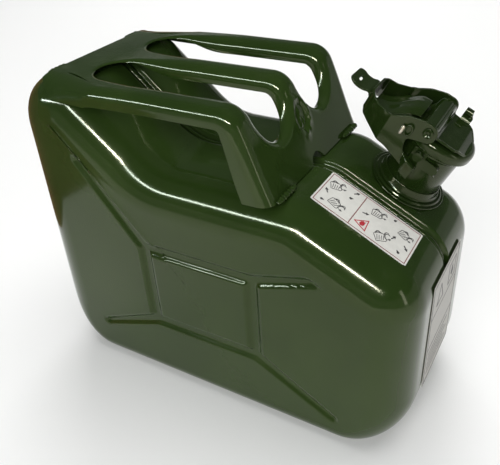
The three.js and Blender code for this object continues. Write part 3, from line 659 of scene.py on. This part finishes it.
# The neck is a turned tube with a rolled lip, and the collar a turned ring stepped up to it.
def buildNeck():
    n = neckSize
    inside = n["radius"] - n["wall"]
    turnedPiece("fillerNeck", [
        (inside, n["root"]), (n["radius"], n["root"]), (n["radius"], n["top"] - n["lipHeight"], 0.8),
        (n["lip"], n["top"] - n["lipHeight"] + 0.4, 0.5), (n["lip"], n["top"], 1.2),
        (inside, n["top"], 0.7)], 90, closureShadedPaint, "can", ["neck"])
    c = collar
    turnedPiece("neckCollar", [
        (n["radius"] + 0.3, 0.3), (c["radius"], 0.3, 0.2), (c["radius"] - 0.4, 1.5, 0.7),
        (c["step"] + 1.6, 1.4, 0.8), (c["step"] + 0.6, c["stepHeight"] - 0.6, 0.8),
        (c["step"] - 1.6, c["stepHeight"] - 0.7, 0.6),
        (n["radius"] + 2.2, c["stepHeight"] + 0.8, 1.4),
        (n["radius"] + 0.9, c["root"], 0.5), (n["radius"] + 0.3, c["root"])],
        90, closureShadedPaint, "can", ["neck_collar"])


# A copy of a CAD node with its doubles merged and its edges rounded.
def softCopy(name, node, body, material, bevel=0.5):
    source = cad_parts[node].data
    co = np.zeros(len(source.vertices) * 3)
    source.vertices.foreach_get("co", co)
    faces = [list(p.vertices) for p in source.polygons]
    piece = makePiece(name, [(co.reshape(-1, 3) / mm, faces)], body, material, [node], merge=0.01)
    bm = bmesh.new()
    bm.from_mesh(piece.data)
    bmesh.ops.dissolve_limit(bm, angle_limit=math.radians(1.5), verts=bm.verts, edges=bm.edges)
    bm.to_mesh(piece.data)
    bm.free()
    piece.data.polygons.foreach_set("use_smooth", np.ones(len(piece.data.polygons), bool))
    piece.data.set_sharp_from_angle(angle=math.radians(30))
    edge = piece.modifiers.new("softEdges", "BEVEL")
    edge.width = bevel * mm
    edge.segments = 3
    edge.limit_method = "ANGLE"
    edge.angle_limit = math.radians(32)
    edge.harden_normals = True


lever = {
    "half": 28.2, "sheet": 1.8, "join": -36.0, "tail": -60.5, "tailHalf": 13.5,
    "pivot": (-9.0, 58.5), "eye": 6.6,
    "topLine": ((-60.5, -56, -50, -41, -36), (54.6, 53.6, 52.4, 53.4, 55.3)),
    "lowLine": ((-60.5, -57, -50, -36), (38.5, 36.6, 34.6, 31.0)), "joinRows": 16,
}


# One side plate: its outline from the side, filled as one flat face.
def sidePlate(sign):
    pu, pw = lever["pivot"]
    e = lever["eye"]
    top, low = lever["topLine"][1][-1], lever["lowLine"][1][-1]
    path, _ = roundedPath([
        (lever["join"], top), (-27, 61.2, 14), (-15, 65.1, 9), (pu + e, pw + e, 6.4), (pu + e, pw - e, 6.0),
        (-20.2, 45.6, 3.6), (-16.6, 35.0, 5.0), (-2.3, 31.2, 1.3), (-1.6, 20.2, 3.0), (-16, 26.0, 12),
        (-30, 30.4, 22), (lever["join"], low)], 160)
    join = np.linspace(low, top, lever["joinRows"])[1:-1]  # the rows of the tail, so that both share edges
    path = np.concatenate([path, np.stack([np.full(len(join), lever["join"]), join], -1)])[::sign]
    points = np.stack([path[:, 0], np.full(len(path), sign * lever["half"]), path[:, 1]], -1)
    return points, [list(range(len(path)))]


# The tail: the plan line from plate to plate round the rear web, between a top and a lower line that
# run over the distance back.
def leverTail():
    h, t = lever["half"], lever["tailHalf"]
    plan, _ = roundedPath([
        (lever["join"], -h), (-38, -h, 4), (-57.5, -t - 4, 6), (lever["tail"], -t + 2, 4),
        (lever["tail"], t - 2, 4), (-57.5, t + 4, 6), (-38, h, 4), (lever["join"], h)], 130)
    top = np.interp(plan[:, 0], *lever["topLine"])
    low = np.interp(plan[:, 0], *lever["lowLine"])
    f = np.linspace(0, 1, lever["joinRows"])[:, None]
    w = low + (top - low) * f
    grid = np.stack([np.broadcast_to(plan[:, 0], w.shape), np.broadcast_to(plan[:, 1], w.shape), w], -1)
    return sheetOf(grid)


tab = {"half": 12.4, "root": 11.5, "neck": 11.0, "sheet": 1.8, "hole": (1.6, 3.8), "holeBack": 6.5, "waist": 0.45}


# The lifting tab: a strip along a bent line, as wide as a rounded oblong, round a waisted hole.
def leverTab():
    line, _ = roundedPath([(-59.4, 47.5), (-59.2, 52.8, 3.5), (-69, 48.6, 13), (-79.5, 52.4)], 60)
    run = np.concatenate([[0], np.cumsum(np.hypot(*np.diff(line, axis=0).T))])
    total = run[-1]
    outer, _ = roundedPath([
        (0, -tab["root"]), (total * 0.4, -tab["neck"], 12), (total, -tab["half"], 5.5),
        (total, tab["half"], 5.5), (total * 0.4, tab["neck"], 12), (0, tab["root"])], 120, closed=True)
    centre = total - tab["holeBack"]
    a = np.arctan2(outer[:, 1], outer[:, 0] - centre)
    waist = 1 - tab["waist"] * np.cos(a) ** 4
    inner = np.stack([centre + tab["hole"][0] * np.cos(a) * waist, tab["hole"][1] * np.sin(a)], -1)
    f = np.linspace(0, 1, 14)[:, None, None]
    flat = inner + (outer - inner) * f
    u = np.interp(flat[..., 0], run, line[:, 0])
    w = np.interp(flat[..., 0], run, line[:, 1])
    return sheetOf(np.stack([u, flat[..., 1], w], -1), closeCols=True)


hook = {"rear": -15.2, "front": -2.6, "top": 34.6, "fall": 0.27, "out": 3.6, "roll": 1.7, "drop": 9.5,
        "inset": 1.2, "sheet": 1.5}


# The hook's turned edge: straight out from the lip, a quarter roll, then down over the hook.
def hookLip(sign):
    u = np.linspace(hook["rear"], hook["front"], 20)
    w = hook["top"] - (u - hook["rear"]) * hook["fall"]
    a = np.linspace(0, 1, 18)
    turn = np.clip((a - 0.35) / 0.3, 0, 1) * math.pi / 2
    out = np.where(a < 0.35, a / 0.35 * hook["out"], hook["out"] + hook["roll"] * np.sin(turn))
    fall = np.where(a < 0.35, 0, hook["roll"] * (1 - np.cos(turn)) + np.maximum(a - 0.65, 0) / 0.35 * hook["drop"])
    fade = smooth(u, hook["rear"] - 0.2, -9)[None, :]
    y = sign * (lever["half"] - hook["inset"] + out[:, None] * (0.35 + 0.65 * fade))
    return np.stack(np.broadcast_arrays(u[None, :], y, w[None, :] - fall[:, None] * (0.4 + 0.6 * fade)), -1)


# Two side plates and the tail as one sheet, the tab let into the tail, and the turned edges.
def buildLever():
    parts = []
    for sign in (-1, 1):
        p, f = sidePlate(sign)
        parts.append((fromNeck(p), f))
    p, f = leverTail()
    parts.append((fromNeck(p), f))
    makePiece("camLever", parts, "lever", closureShadedPaint, ["lever"], facing=tuple(-axisU),
              thickness=lever["sheet"], bevel=0.5, merge=0.05)
    p, f = leverTab()
    makePiece("leverTab", [(fromNeck(p), f)], "lever", closureShadedPaint, facing=tuple(axisW),
              thickness=tab["sheet"], bevel=0.5)
    for sign, side in ((-1, "Near"), (1, "Far")):
        grid = fromNeck(hookLip(sign))
        makePiece("hookLip" + side, [sheetOf(grid)], "lever", closureShadedPaint, facing=(0, sign, 0),
                  thickness=hook["sheet"], bevel=0.45)


leaf = {"rear": 8.5, "widen": 10.0, "narrow": 3.0, "crown": 1.5, "droop": 2.0, "rib": 0.7, "ribHalf": 0.16,
        "sheet": 1.3, "along": 46}


# Spoon shaped leaf: a line from the tail up to the front, widening, with a crown across and a rib.
def buildLeaf():
    line, _ = roundedPath([(-55.5, 45.2), (-44, 46.2, 22), (-27.5, 60.4, 16), (-20.2, 61.4)], leaf["along"])
    t = np.linspace(0, 1, leaf["along"])
    v = np.linspace(-1, 1, 31)[:, None]
    half = leaf["rear"] + leaf["widen"] * smooth(t, 0.08, 0.45) - leaf["narrow"] * smooth(t, 0.75, 1.0)
    crown = leaf["crown"] * (1 - v ** 2) * smooth(t, 0.15, 0.6)
    droop = leaf["droop"] * smooth(np.abs(v), 0.55, 1.0) * smooth(t, 0.3, 0.75)
    rib = leaf["rib"] * np.exp(-(v / leaf["ribHalf"]) ** 2) * smooth(t, 0.05, 0.3) * (1 - smooth(t, 0.75, 0.95))
    rise = crown - droop + rib
    grid = np.stack([np.broadcast_to(line[:, 0], rise.shape), v * half, line[:, 1] + rise], -1)
    makePiece("spoonLeaf", [sheetOf(fromNeck(grid))], "lever", closureShadedPaint, ["lever_leaf"],
              facing=tuple(axisW), thickness=leaf["sheet"], bevel=0.35)


# A round piece along y: a profile of radius and y carried round the line at u, w.
def crossPiece(name, centre, corners, count, body, material, replaces=(), around=48):
    profile, _ = roundedPath(corners, count, closed=True)
    a = np.linspace(0, 2 * math.pi, around, endpoint=False)
    r = np.maximum(profile[:, :1], 0)
    grid = np.stack([centre[0] + r * np.cos(a), np.broadcast_to(profile[:, 1:], (count, around)),
                     centre[1] + r * np.sin(a)], -1)
    makePiece(name, [sheetOf(fromNeck(grid), True, True)], body, material, replaces,
              facing=(0, 1, 0))


rivet = {"bore": 1.5, "shank": 2.6, "head": 4.2, "clear": 0.35}
pin = {"place": (-25.0, 50.5), "radius": 1.7, "inner": -25.4, "rod": 1.35, "rodLength": 7.6,
       "loop": (2.5, 4.3), "loopWire": 0.75}


# The hollow rivet through both plates, with a rolled head on each side.
def buildRivet():
    reach = lever["half"] + rivet["clear"]
    bore, shank, head = rivet["bore"], rivet["shank"], rivet["head"]
    crossPiece("hollowRivet", lever["pivot"], [
        (bore, -reach - 1.2), (shank, -reach - 1.5, 0.5), (head, -reach - 0.6, 0.6), (head, -reach, 0.2),
        (shank, -reach), (shank, reach), (head, reach, 0.2), (head, reach + 0.6, 0.6),
        (shank, reach + 1.5, 0.5), (bore, reach + 1.2)][::-1],
        90, "lever", closureShadedPaint, ["pivot_rivet"])


# The locking pin: a turned shank, a head that is a short upright rod with rounded ends, and an oval
# ring of wire beside it.
def buildPin():
    pinU, pinW = pin["place"]
    y = -lever["half"] - rivet["clear"]
    crossPiece("lockingPin", pin["place"], [
        (0, y - 1.6), (1.5, y - 1.6, 0.7), (pin["radius"], y, 0.2), (pin["radius"], pin["inner"], 0.3),
        (0, pin["inner"])][::-1], 50, "locking_pin", zinc, ["locking_pin"], around=32)
    h = np.linspace(0, 1, 24)
    rod = pin["rod"] * np.sqrt(np.clip(1 - np.abs(2 * h - 1) ** 5, 0, 1))
    turn = np.linspace(0, 2 * math.pi, 20, endpoint=False)[:, None]
    wire = np.stack([pinU - 0.6 + rod * np.cos(turn), y - 2.2 + rod * np.sin(turn),
                     pinW - 3.4 + pin["rodLength"] * h + 0 * turn], -1)
    makePiece("pinWire", [sheetOf(fromNeck(wire), closeRows=True)], "locking_pin", zinc,
              facing=(0, -1, 0))
    a = np.linspace(0, 2 * math.pi, 48, endpoint=False)
    b = np.linspace(0, 2 * math.pi, 14, endpoint=False)[:, None]
    halfU, halfW = pin["loop"]
    outward = np.stack([np.cos(a) / halfU, np.sin(a) / halfW], -1)
    outward /= np.linalg.norm(outward, axis=1)[:, None]
    thick = pin["loopWire"]
    ring = np.stack([pinU + 3.6 + halfU * np.cos(a) + outward[:, 0] * thick * np.cos(b),
                     y - 1.3 + thick * np.sin(b) + 0 * a,
                     pinW + 2.0 + halfW * np.sin(a) + outward[:, 1] * thick * np.cos(b)], -1)
    makePiece("pinLoop", [sheetOf(fromNeck(ring), True, True)], "locking_pin", closureShadedPaint,
              facing=(0, -1, 0))


lid = {"radius": 25.9, "front": 1.6, "skirt": 43.2, "top": 52.6, "bore": 24.5, "shelf": 47.2,
       "seal": (18.2, 23.9), "sealHeight": (43.4, 46.8)}


# How much further out the lid's rim stands at the front than round the rest.
def lidStretch(a):
    return 1 + lid["front"] / lid["radius"] * smooth(np.cos(a), 0.1, 0.9)


# The lid is a turned cup, upside down, and the seal is a turned ring inside it.
def buildCap():
    turnedPiece("capLid", [
        (0, lid["shelf"]), (lid["bore"], lid["shelf"], 0.5), (lid["bore"], lid["skirt"], 0.3),
        (lid["radius"], lid["skirt"], 0.8), (lid["radius"], lid["top"] - 0.2, 5.0),
        (16, lid["top"] + 0.1, 8), (0, lid["top"] + 0.1)],
        110, closureShadedPaint, "cap", ["cap_lid"], squash=lidStretch)
    (inner, outer), (low, high) = lid["seal"], lid["sealHeight"]
    turnedPiece("capSeal", [(inner, low, 0.6), (outer, low, 0.8), (outer, high, 0.8), (inner, high, 0.6)],
                60, rubber, "cap", ["cap_gasket"])


yoke = {
    "tongue": 6.9, "barrel": 25.4, "barrelBore": 2.8, "barrelRadius": 4.9, "knuckle": (-31.0, 41.0),
    "knuckleBore": 2.0, "knuckleRadius": 3.9, "sheet": 1.5, "tongueRows": 16,
    # half widths over the distance from the neck's axis
    "halves": ((-31.4, -29.4, -25, -19, -15.2, -3, -1.6, 13, 18, 22.2),
               (6.9, 6.9, 7.4, 19.0, 25.6, 25.6, 23.4, 22.4, 17.5, 11.0)),
}


# The yoke: a plate folded along one line across the cap, from the tongue's hinge over the barrel and
# the bridge down to the crease at the front. Each station has its own half width.
def buildYoke():
    line, normal = roundedPath([
        (-31.4, 37.6), (-31.4, 44.2, 2.0), (-29.4, 54.0, 3.0), (-24.0, 55.3, 3), (-17.5, 55.6, 2.5),
        (-14.6, 62.6, 3.6), (-3.6, 63.0, 4.2), (-2.2, 56.4, 1.6), (15.4, 55.6, 2.2), (21.8, 51.6, 2),
        (22.2, 50.2)], 150)
    half = np.interp(line[:, 0], *yoke["halves"])
    half[:yoke["tongueRows"]] = yoke["tongue"]
    v = np.linspace(-1, 1, 41)[:, None]
    edge = 0.5 * smooth(np.abs(v), 0.94, 1.0)
    grid = np.stack([line[:, 0] - normal[:, 0] * edge, v * half, line[:, 1] - normal[:, 1] * edge], -1)
    makePiece("capYoke", [sheetOf(fromNeck(grid))], "cap", closureShadedPaint, ["cap_yoke"],
              facing=tuple(axisW), thickness=yoke["sheet"], bevel=0.4)
    for name, centre, bore, radius, reach, edge, count in (
            ("yokeBarrel", lever["pivot"], yoke["barrelBore"], yoke["barrelRadius"], yoke["barrel"], 0.5, 40),
            ("hingeKnuckle", yoke["knuckle"], yoke["knuckleBore"], yoke["knuckleRadius"], yoke["tongue"], 0.4, 30)):
        crossPiece(name, centre, [(bore, -reach), (radius, -reach, edge), (radius, reach, edge), (bore, reach)][::-1],
                   count, "cap", closureShadedPaint)


curl = {"start": 3.2, "width": 8.4, "narrow": 2.6, "sheet": 1.3, "along": 70}


# The curled tab at the far front corner: a line that rises and ends in a loop, as wide as a short strip.
def buildCurl():
    line, _ = roundedPath([
        (18.5, 55.0), (23.4, 55.2, 1.6), (24.6, 57.6, 1.6), (30.0, 57.8, 2.4), (30.4, 64.4, 2.8),
        (24.8, 64.4, 2.6), (25.4, 61.2)], curl["along"])
    f = np.linspace(0, 1, 9)[:, None]
    width = curl["width"] - curl["narrow"] * smooth(np.linspace(0, 1, curl["along"]), 0.35, 0.75)
    grid = np.stack([curl["start"] + f * width, line[:, 0] + 0 * f, line[:, 1] + 0 * f], -1)
    makePiece("bridgeCurl", [sheetOf(fromNeck(grid))], "cap", closureShadedPaint, facing=(0, 1, 0),
              thickness=curl["sheet"], bevel=0.35)


buildNeck()
for node, title in (("neck_lug_near", "lugNear"), ("neck_lug_far", "lugFar"),
                    ("hinge_bracket", "hingeBracket")):
    softCopy(title, node, "can", closureShadedPaint)
softCopy("hingePin", "hinge_pin", "can", zinc, 0.3)
softCopy("airTube", "breather_tube", "can", innerShadedPaint, 0.1)
buildLever()
buildLeaf()
buildRivet()
buildPin()
buildCap()
buildYoke()
buildCurl()
print("closure built")


weld = {"foot": 2.1, "rear": 1.9, "off": 0.6, "sunk": 1.0, "flatten": 0.8, "ripple": (0.16, 1.5), "fine": (0.1, 3.7)}


# A weld bead: an oval rod that swells and sinks along its length in two waves and closes at both ends.
def weldBead(name, start, end, up, radius, node, phase):
    start, end, up = (np.array(v, float) for v in (start, end, up))
    length = np.linalg.norm(end - start)
    along = (end - start) / length
    side = np.cross(along, up)
    t = np.linspace(0, 1, 60)
    a = np.linspace(0, 2 * math.pi, 18, endpoint=False)[:, None]
    taper = np.sqrt(np.clip(1 - np.abs(2 * t - 1) ** 6, 0, 1))
    (deep, pitch), (fineDeep, finePitch) = weld["ripple"], weld["fine"]
    ripple = deep * np.sin(t * length * pitch + phase)
    swell = radius * taper * (1 + ripple + fineDeep * np.sin(t * length * finePitch + 2 * phase))
    ring = side[None, None, :] * np.cos(a)[..., None] + up[None, None, :] * np.sin(a)[..., None] * weld["flatten"]
    grid = start + (along * length)[None, None, :] * t[None, :, None] + ring * swell[None, :, None]
    makePiece(name, [sheetOf(grid, closeRows=True)], "can", weldPaint, [node],
              facing=tuple(up), merge=0.02)


for side, sign in (("near", -1), ("far", 1)):
    for where, lean, phase in (("foot", 0.5, 1.0), ("rear", -0.5, 2.0)):
        node = where + "_weld_" + side
        beadLow, beadHigh = boxOf(node)
        x = (beadLow[0] + beadHigh[0]) / 2 - math.copysign(weld["off"], lean)
        z = (beadLow[2] + beadHigh[2]) / 2 - weld["sunk"]
        weldBead(where + "Weld" + side.title(), (x, beadLow[1], z), (x, beadHigh[1], z), (lean, 0, 0.87),
                 weld[where], node, phase + sign)
print("welds laid")


shoulder = {"start": 2.5, "end": 83.0, "near": -49.0, "far": -8.2, "corner": 0.6, "low": 0.25, "high": 0.6,
            "border": 1.6, "line": 0.55, "split": 34.0, "inkHigh": 0.72, "inkThick": 0.12}


# From label millimetres, along the slope and across it, to the can.
def onShoulder(points, height):
    points = np.asarray(points, float)
    origin = np.array([can["crestX"], 0, can["crestTop"]])
    return (origin + points[..., :1] * axisU + points[..., 1:2] * axisY
            + np.asarray(height, float)[..., None] * axisW)


# A thin slab: a loop at two heights, closed by a face at the top and at the bottom and a wall between.
def slab(loop, place, low, high):
    loop = np.asarray(loop, float)
    n = len(loop)
    points = np.concatenate([place(loop, np.full(n, high)), place(loop, np.full(n, low))])
    return points, [list(range(n)), list(range(2 * n - 1, n - 1, -1))] + gridFaces(2, n, False, True).tolist()


# Printed shapes, each loop a slab that lies on the film.
def inkPiece(name, loops, material, height, place=onShoulder):
    makePiece(name, [slab(loop, place, height - shoulder["inkThick"], height) for loop in loops], "can", material,
              facing=tuple(axisW), merge=0.001, sharp=30)


# A short bar from a to b, as long as both with half its width added at each end.
def bar(a, b, width):
    a, b = np.array(a, float), np.array(b, float)
    d = (b - a) / np.linalg.norm(b - a) * width / 2
    n = np.array([-d[1], d[0]])
    return [a - d + n, a - d - n, b + d - n, b + d + n]


# A stroke of one width along a line of points, closed on itself or open.
def stroke(points, width, closed=True):
    p = np.asarray(points, float)
    pairs = list(zip(p, np.roll(p, -1, 0))) if closed else list(zip(p[:-1], p[1:]))
    return [bar(a, b, width) for a, b in pairs]


# A shape made larger, turned and put in its place.
def turnedShape(points, centre, angle, size):
    p = np.asarray(points, float) * size
    c, s = math.cos(angle), math.sin(angle)
    return np.stack([p[:, 0] * c - p[:, 1] * s, p[:, 0] * s + p[:, 1] * c], -1) + np.array(centre, float)


# A drop: a circle whose one side is drawn out to a point and narrowed.
def dropShape(count=28):
    a = np.linspace(0, 2 * math.pi, count, endpoint=False)
    point = np.maximum(np.cos(a), 0)
    return np.stack([np.cos(a) * (1 + 0.9 * point ** 5), np.sin(a) * (1 - 0.35 * point)], -1)


# Where the signs stand, as place along and across the label, angle and size.
signs = {
    "tins": (((11.5, -20), 0.5, 1.0), ((19, -37.5), -0.25, 1.0), ((47.5, -18.5), 0.2, 0.95),
             ((58, -38), 0.7, 1.05), ((72, -21), -0.3, 0.9)),
    "drops": (((25, -22.5), 0.6, 1.2), ((9, -42.5), 0.2, 1.1), ((60.5, -13.5), 0.9, 1.1), ((74, -41.5), 2.4, 1.2)),
    "arrows": (((26.5, -14), 0.9, 1.0), ((8, -31), 2.2, 1.0), ((40, -27), 0.4, 1.0), ((66, -31), 1.2, 1.0),
               ((77, -33), -0.8, 1.0)),
    "arrow": ((-2.4, -0.45), (0.6, -0.45), (0.6, -1.4), (3.0, 0), (0.6, 1.4), (0.6, 0.45), (-2.4, 0.45)),
    "flame": ((0, -3.6), (2.0, -2.4), (2.3, 0.0), (1.2, 1.9), (1.0, 4.2), (-0.5, 2.3), (-1.1, 3.0),
              (-2.2, 0.6), (-1.9, -2.3)),
    "flamePlace": ((42.5, -38.3), -0.35, 0.85),
    "triangle": ((-6.5, -5.4), (6.8, -5.4), (0.2, 7.8)),
    "trianglePlace": ((43, -38), -0.35, 0.8), "triangleLine": 0.75,
}


# The shoulder's film: a frame with a dividing line, and generic signs: a tin with a spout that pours,
# turning arrows, drops and a fire triangle.
def buildShoulderLabel():
    s = shoulder
    corners = [(u, v, s["corner"]) for u, v in ((s["start"], s["near"]), (s["end"], s["near"]),
                                                (s["end"], s["far"]), (s["start"], s["far"]))]
    loop, _ = roundedPath(corners, 80, closed=True)
    makePiece("shoulderLabel", [slab(loop, onShoulder, s["low"], s["high"])], "can", film,
              ["shoulder_label"], facing=tuple(axisW), sharp=30)
    b = s["border"]
    u0, u1, v0, v1 = s["start"] + b, s["end"] - b, s["near"] + b, s["far"] - b
    lines = stroke([(u0, v0), (u1, v0), (u1, v1), (u0, v1)], s["line"])
    lines.append(bar((s["split"], v0), (s["split"], v1), s["line"] * 1.2))
    inkPiece("labelFrame", lines, inkBorder, s["inkHigh"])
    dark = []
    for place in signs["tins"]:
        dark += pouringTin(*place)
    dark += [turnedShape(dropShape(), *place) for place in signs["drops"]]
    dark += [turnedShape(signs["arrow"], *place) for place in signs["arrows"]]
    inkPiece("labelSigns", dark, inkDark, s["inkHigh"])
    triangle = turnedShape(signs["triangle"], *signs["trianglePlace"])
    inkPiece("labelFlame", [turnedShape(signs["flame"], *signs["flamePlace"])]
             + stroke(triangle, signs["triangleLine"]), inkRed, s["inkHigh"])


# A tin from the side with a handle, a bent spout, shading strokes and a turning arrow round its cap.
def pouringTin(centre, angle, size):
    width = 0.42 / size
    a = np.linspace(0, 1, 12)
    body = [(-5.0, -4.2), (2.6, -4.2), (3.6, -3.2), (3.6, 1.6), (2.0, 3.0), (-4.0, 3.0), (-5.0, 2.0)]
    grip = np.stack([-3.4 + 4.6 * a, 3.0 + 1.9 * np.sin(a * math.pi)], -1)
    spout = np.stack([3.0 + 4.2 * a, 1.6 + 2.4 * np.sin(a * math.pi * 0.75)], -1)
    ring = np.linspace(0.4, 5.2, 20)
    turn = np.stack([5.2 + 2.6 * np.cos(ring), 0.2 + 2.6 * np.sin(ring)], -1)
    lines = [(body, True), (grip, False), (grip * (1, 0.8) + (0, 0.1), False), (spout, False),
             (spout + (0.2, -1.3), False), (turn, False)]
    for k in range(4):
        lines.append((np.array([(-3.8 + 1.6 * k, -3.0), (-2.6 + 1.6 * k, 1.4 - 0.5 * k)]), False))
    bars = []
    for points, closed in lines:
        bars += stroke(turnedShape(points, centre, angle, size), width * size, closed)
    tip = turnedShape([turn[-1]], centre, angle, size)[0]
    return bars + [turnedShape([(-0.9, -0.9), (1.2, -0.2), (-0.6, 1.1)], tip, angle + 0.4, size)]


front = {"half": 35.6, "corner": 2, "low": 0.3, "high": 0.68, "inkHigh": 0.8, "border": 2.5, "line": 0.7,
         "rule": 0.6, "rules": (0.36, 0.68), "sign": 0.9, "textLine": 0.8, "textStep": 5, "textRows": 5}


# From label millimetres, across and up, to the front of the can.
def onFront(points, height):
    points = np.asarray(points, float)
    return np.stack([halfLength + np.asarray(height, float), points[..., 0], points[..., 1]], -1)


# The front's film: a frame with two rules, a triangle, a drop in a square and plain lines for text.
def buildFrontLabel():
    f = front
    bottom, top = (corner[2] for corner in boxOf("front_label"))
    loop, _ = roundedPath([(v, z, f["corner"]) for v, z in ((-f["half"], bottom), (f["half"], bottom),
                                                            (f["half"], top), (-f["half"], top))], 96, closed=True)
    makePiece("frontLabel", [slab(loop, onFront, f["low"], f["high"])], "can", frontFilm,
              ["front_label"], facing=(1, 0, 0), sharp=30)
    h = f["half"] - f["border"]
    z0, z1 = bottom + f["border"], top - f["border"]
    lines = stroke([(-h, z0), (h, z0), (h, z1), (-h, z1)], f["line"])
    for z in (z0 + (z1 - z0) * part for part in f["rules"]):
        lines.append(bar((-h, z), (h, z), f["rule"]))
    lines += stroke([(-22, z1 - 24), (-6, z1 - 24), (-14, z1 - 8)], f["sign"])
    lines += stroke([(8, z1 - 25), (26, z1 - 25), (26, z1 - 7), (8, z1 - 7)], f["sign"])
    lines.append(turnedShape(dropShape(), (17, z1 - 17), math.pi / 2, 3.4))
    for k in range(f["textRows"]):
        z = z0 + 8 + k * f["textStep"]
        lines.append(bar((-28, z), (24 - 7 * (k % 2), z), f["textLine"]))
    inkPiece("frontLabelSigns", lines, inkDark, f["inkHigh"], onFront)


buildShoulderLabel()
buildFrontLabel()
print("labels printed")


room = {"floor": (0.90, 0.90, 0.89, 1), "roughness": 0.75, "reach": 5.0, "wall": 1.6, "round": 1.2, "gap": 0.0002}


# A pale floor that curves up into a low round wall: radius and height along a bent line, turned about z.
def buildRoom():
    line, _ = roundedPath([(0, 0), (room["reach"], 0, room["round"]), (room["reach"], room["wall"])], 40)
    a = np.linspace(0, 2 * math.pi, 96, endpoint=False)
    r = np.maximum(line[:, :1], 0.001)
    grid = np.stack([r * np.cos(a), r * np.sin(a), np.broadcast_to(line[:, 1:] - room["gap"], (40, 96))], -1)
    points, faces = sheetOf(grid, closeCols=True)
    mesh = bpy.data.meshes.new("paleFloor")
    mesh.from_pydata(points.tolist(), [], faces)
    floor = bpy.data.objects.new("paleFloor", mesh)
    bpy.context.scene.collection.objects.link(floor)
    mesh.polygons.foreach_set("use_smooth", np.ones(len(mesh.polygons), bool))
    b = Brew("paleFloorPaint")
    mesh.materials.append(b.finish({"Base Color": room["floor"], "Roughness": room["roughness"]}))


card = {"x": -0.375, "from": -0.5, "to": 0.5, "height": 0.34, "colour": (0.27, 0.13, 0.055, 1),
        "roughness": 0.6}


# A brown card behind the can, as a wooden door would stand there. Only the gloss shows it.
def buildCard():
    c = card
    mesh = bpy.data.meshes.new("brownCard")
    mesh.from_pydata([(c["x"], c["from"], 0), (c["x"], c["to"], 0), (c["x"], c["to"], c["height"]),
                      (c["x"], c["from"], c["height"])], [], [(0, 1, 2, 3)])
    obj = bpy.data.objects.new("brownCard", mesh)
    bpy.context.scene.collection.objects.link(obj)
    b = Brew("brownCardPaint")
    grain = b.noise(12, 3, 0.5, b.stretch(b.place(), (1, 1, 6)))
    mesh.materials.append(b.finish({"Base Color": b.blend(grain, shaded(c["colour"], 0.6), c["colour"]),
                                    "Roughness": c["roughness"]}))
    obj.visible_camera = obj.visible_diffuse = obj.visible_shadow = obj.visible_transmission = False


light = {
    "room": (0.80, 0.82, 0.84, 1), "roomStrength": 0.10,
    # name, place, what it points at, size, power, colour; the soft ones leave no mark in the gloss
    "soft": (("softFront", (0.6, -2.4, 1.5), (0, 0, 0.1), (2.2, 1.6), 62, (1, 1, 1)),
             ("softTop", (0.2, 0.5, 2.6), (0, 0, 0.1), (2.4, 2.4), 47, (1, 1, 1)),
             ("softBack", (-1.2, 2.2, 1.8), (0, 0, 0.1), (2.0, 1.6), 38, (1, 1, 1))),
    "strips": (("stripShort", (0.46, -1.06, 1.04), (0.46, 0, 0.25), (0.52, 0.075), 16, (0.93, 0.97, 1.0)),
               ("stripLong", (-0.72, -1.06, 1.04), (-0.72, 0, 0.25), (1.8, 0.085), 22, (0.76, 0.90, 1.0)),
               ("edgeRight", (2.2, -0.4, 0.7), (0, 0, 0.15), (0.25, 1.2), 3, (1, 1, 1))),
}


# A flat lamp at a place, turned to its target, wide side level.
def areaLight(name, place, target, size, power, colour):
    data = bpy.data.lights.new(name, "AREA")
    data.shape = "RECTANGLE"
    data.size, data.size_y = size
    data.energy = power
    data.color = colour
    lamp = bpy.data.objects.new(name, data)
    bpy.context.scene.collection.objects.link(lamp)
    place, target = np.array(place, float), np.array(target, float)
    back = (place - target) / np.linalg.norm(place - target)
    side = np.cross((0, 1, 0) if abs(back[2]) > 0.9 and size[0] > size[1] else (0, 0, 1), back)
    side /= np.linalg.norm(side)
    up = np.cross(back, side)
    matrix = np.eye(4)
    matrix[:3, 0], matrix[:3, 1], matrix[:3, 2], matrix[:3, 3] = side, up, back, place
    lamp.matrix_world = Matrix(matrix.tolist())
    return lamp


# A dim even room, soft lamps for the body colour, and strips for the lines in the gloss.
def buildLight():
    world = bpy.data.worlds.new("dimRoom")
    bpy.context.scene.world = world
    world.use_nodes = True
    background = world.node_tree.nodes["Background"]
    background.inputs["Color"].default_value = light["room"]
    background.inputs["Strength"].default_value = light["roomStrength"]
    for settings in light["soft"]:
        areaLight(*settings).visible_glossy = False
    for settings in light["strips"]:
        areaLight(*settings).visible_diffuse = False


view = {"turn": 32.05, "height": 33.9, "roll": 3.94, "lens": 44.98, "place": (0.2447, -0.3904, 0.4325)}


# The camera turned round the can, raised, then rolled about its own line of sight.
def buildCamera():
    a, e, r = (math.radians(view[k]) for k in ("turn", "height", "roll"))
    back = np.array([math.sin(a) * math.cos(e), -math.cos(a) * math.cos(e), math.sin(e)])
    right = np.cross(-back, (0, 0, 1))
    right /= np.linalg.norm(right)
    down = np.cross(-back, right)
    matrix = np.eye(4)
    matrix[:3, 0] = math.cos(r) * right + math.sin(r) * down
    matrix[:3, 1] = math.sin(r) * right - math.cos(r) * down
    matrix[:3, 2] = back
    matrix[:3, 3] = view["place"]
    data = bpy.data.cameras.new("studioCamera")
    data.lens = view["lens"]
    data.sensor_width = 36
    data.clip_start = 0.01
    camera = bpy.data.objects.new("studioCamera", data)
    bpy.context.scene.collection.objects.link(camera)
    camera.matrix_world = Matrix(matrix.tolist())
    bpy.context.scene.camera = camera


buildRoom()
buildCard()
buildLight()
buildCamera()
bpy.context.scene.view_settings.view_transform = "Standard"
print("room, lights and camera set")
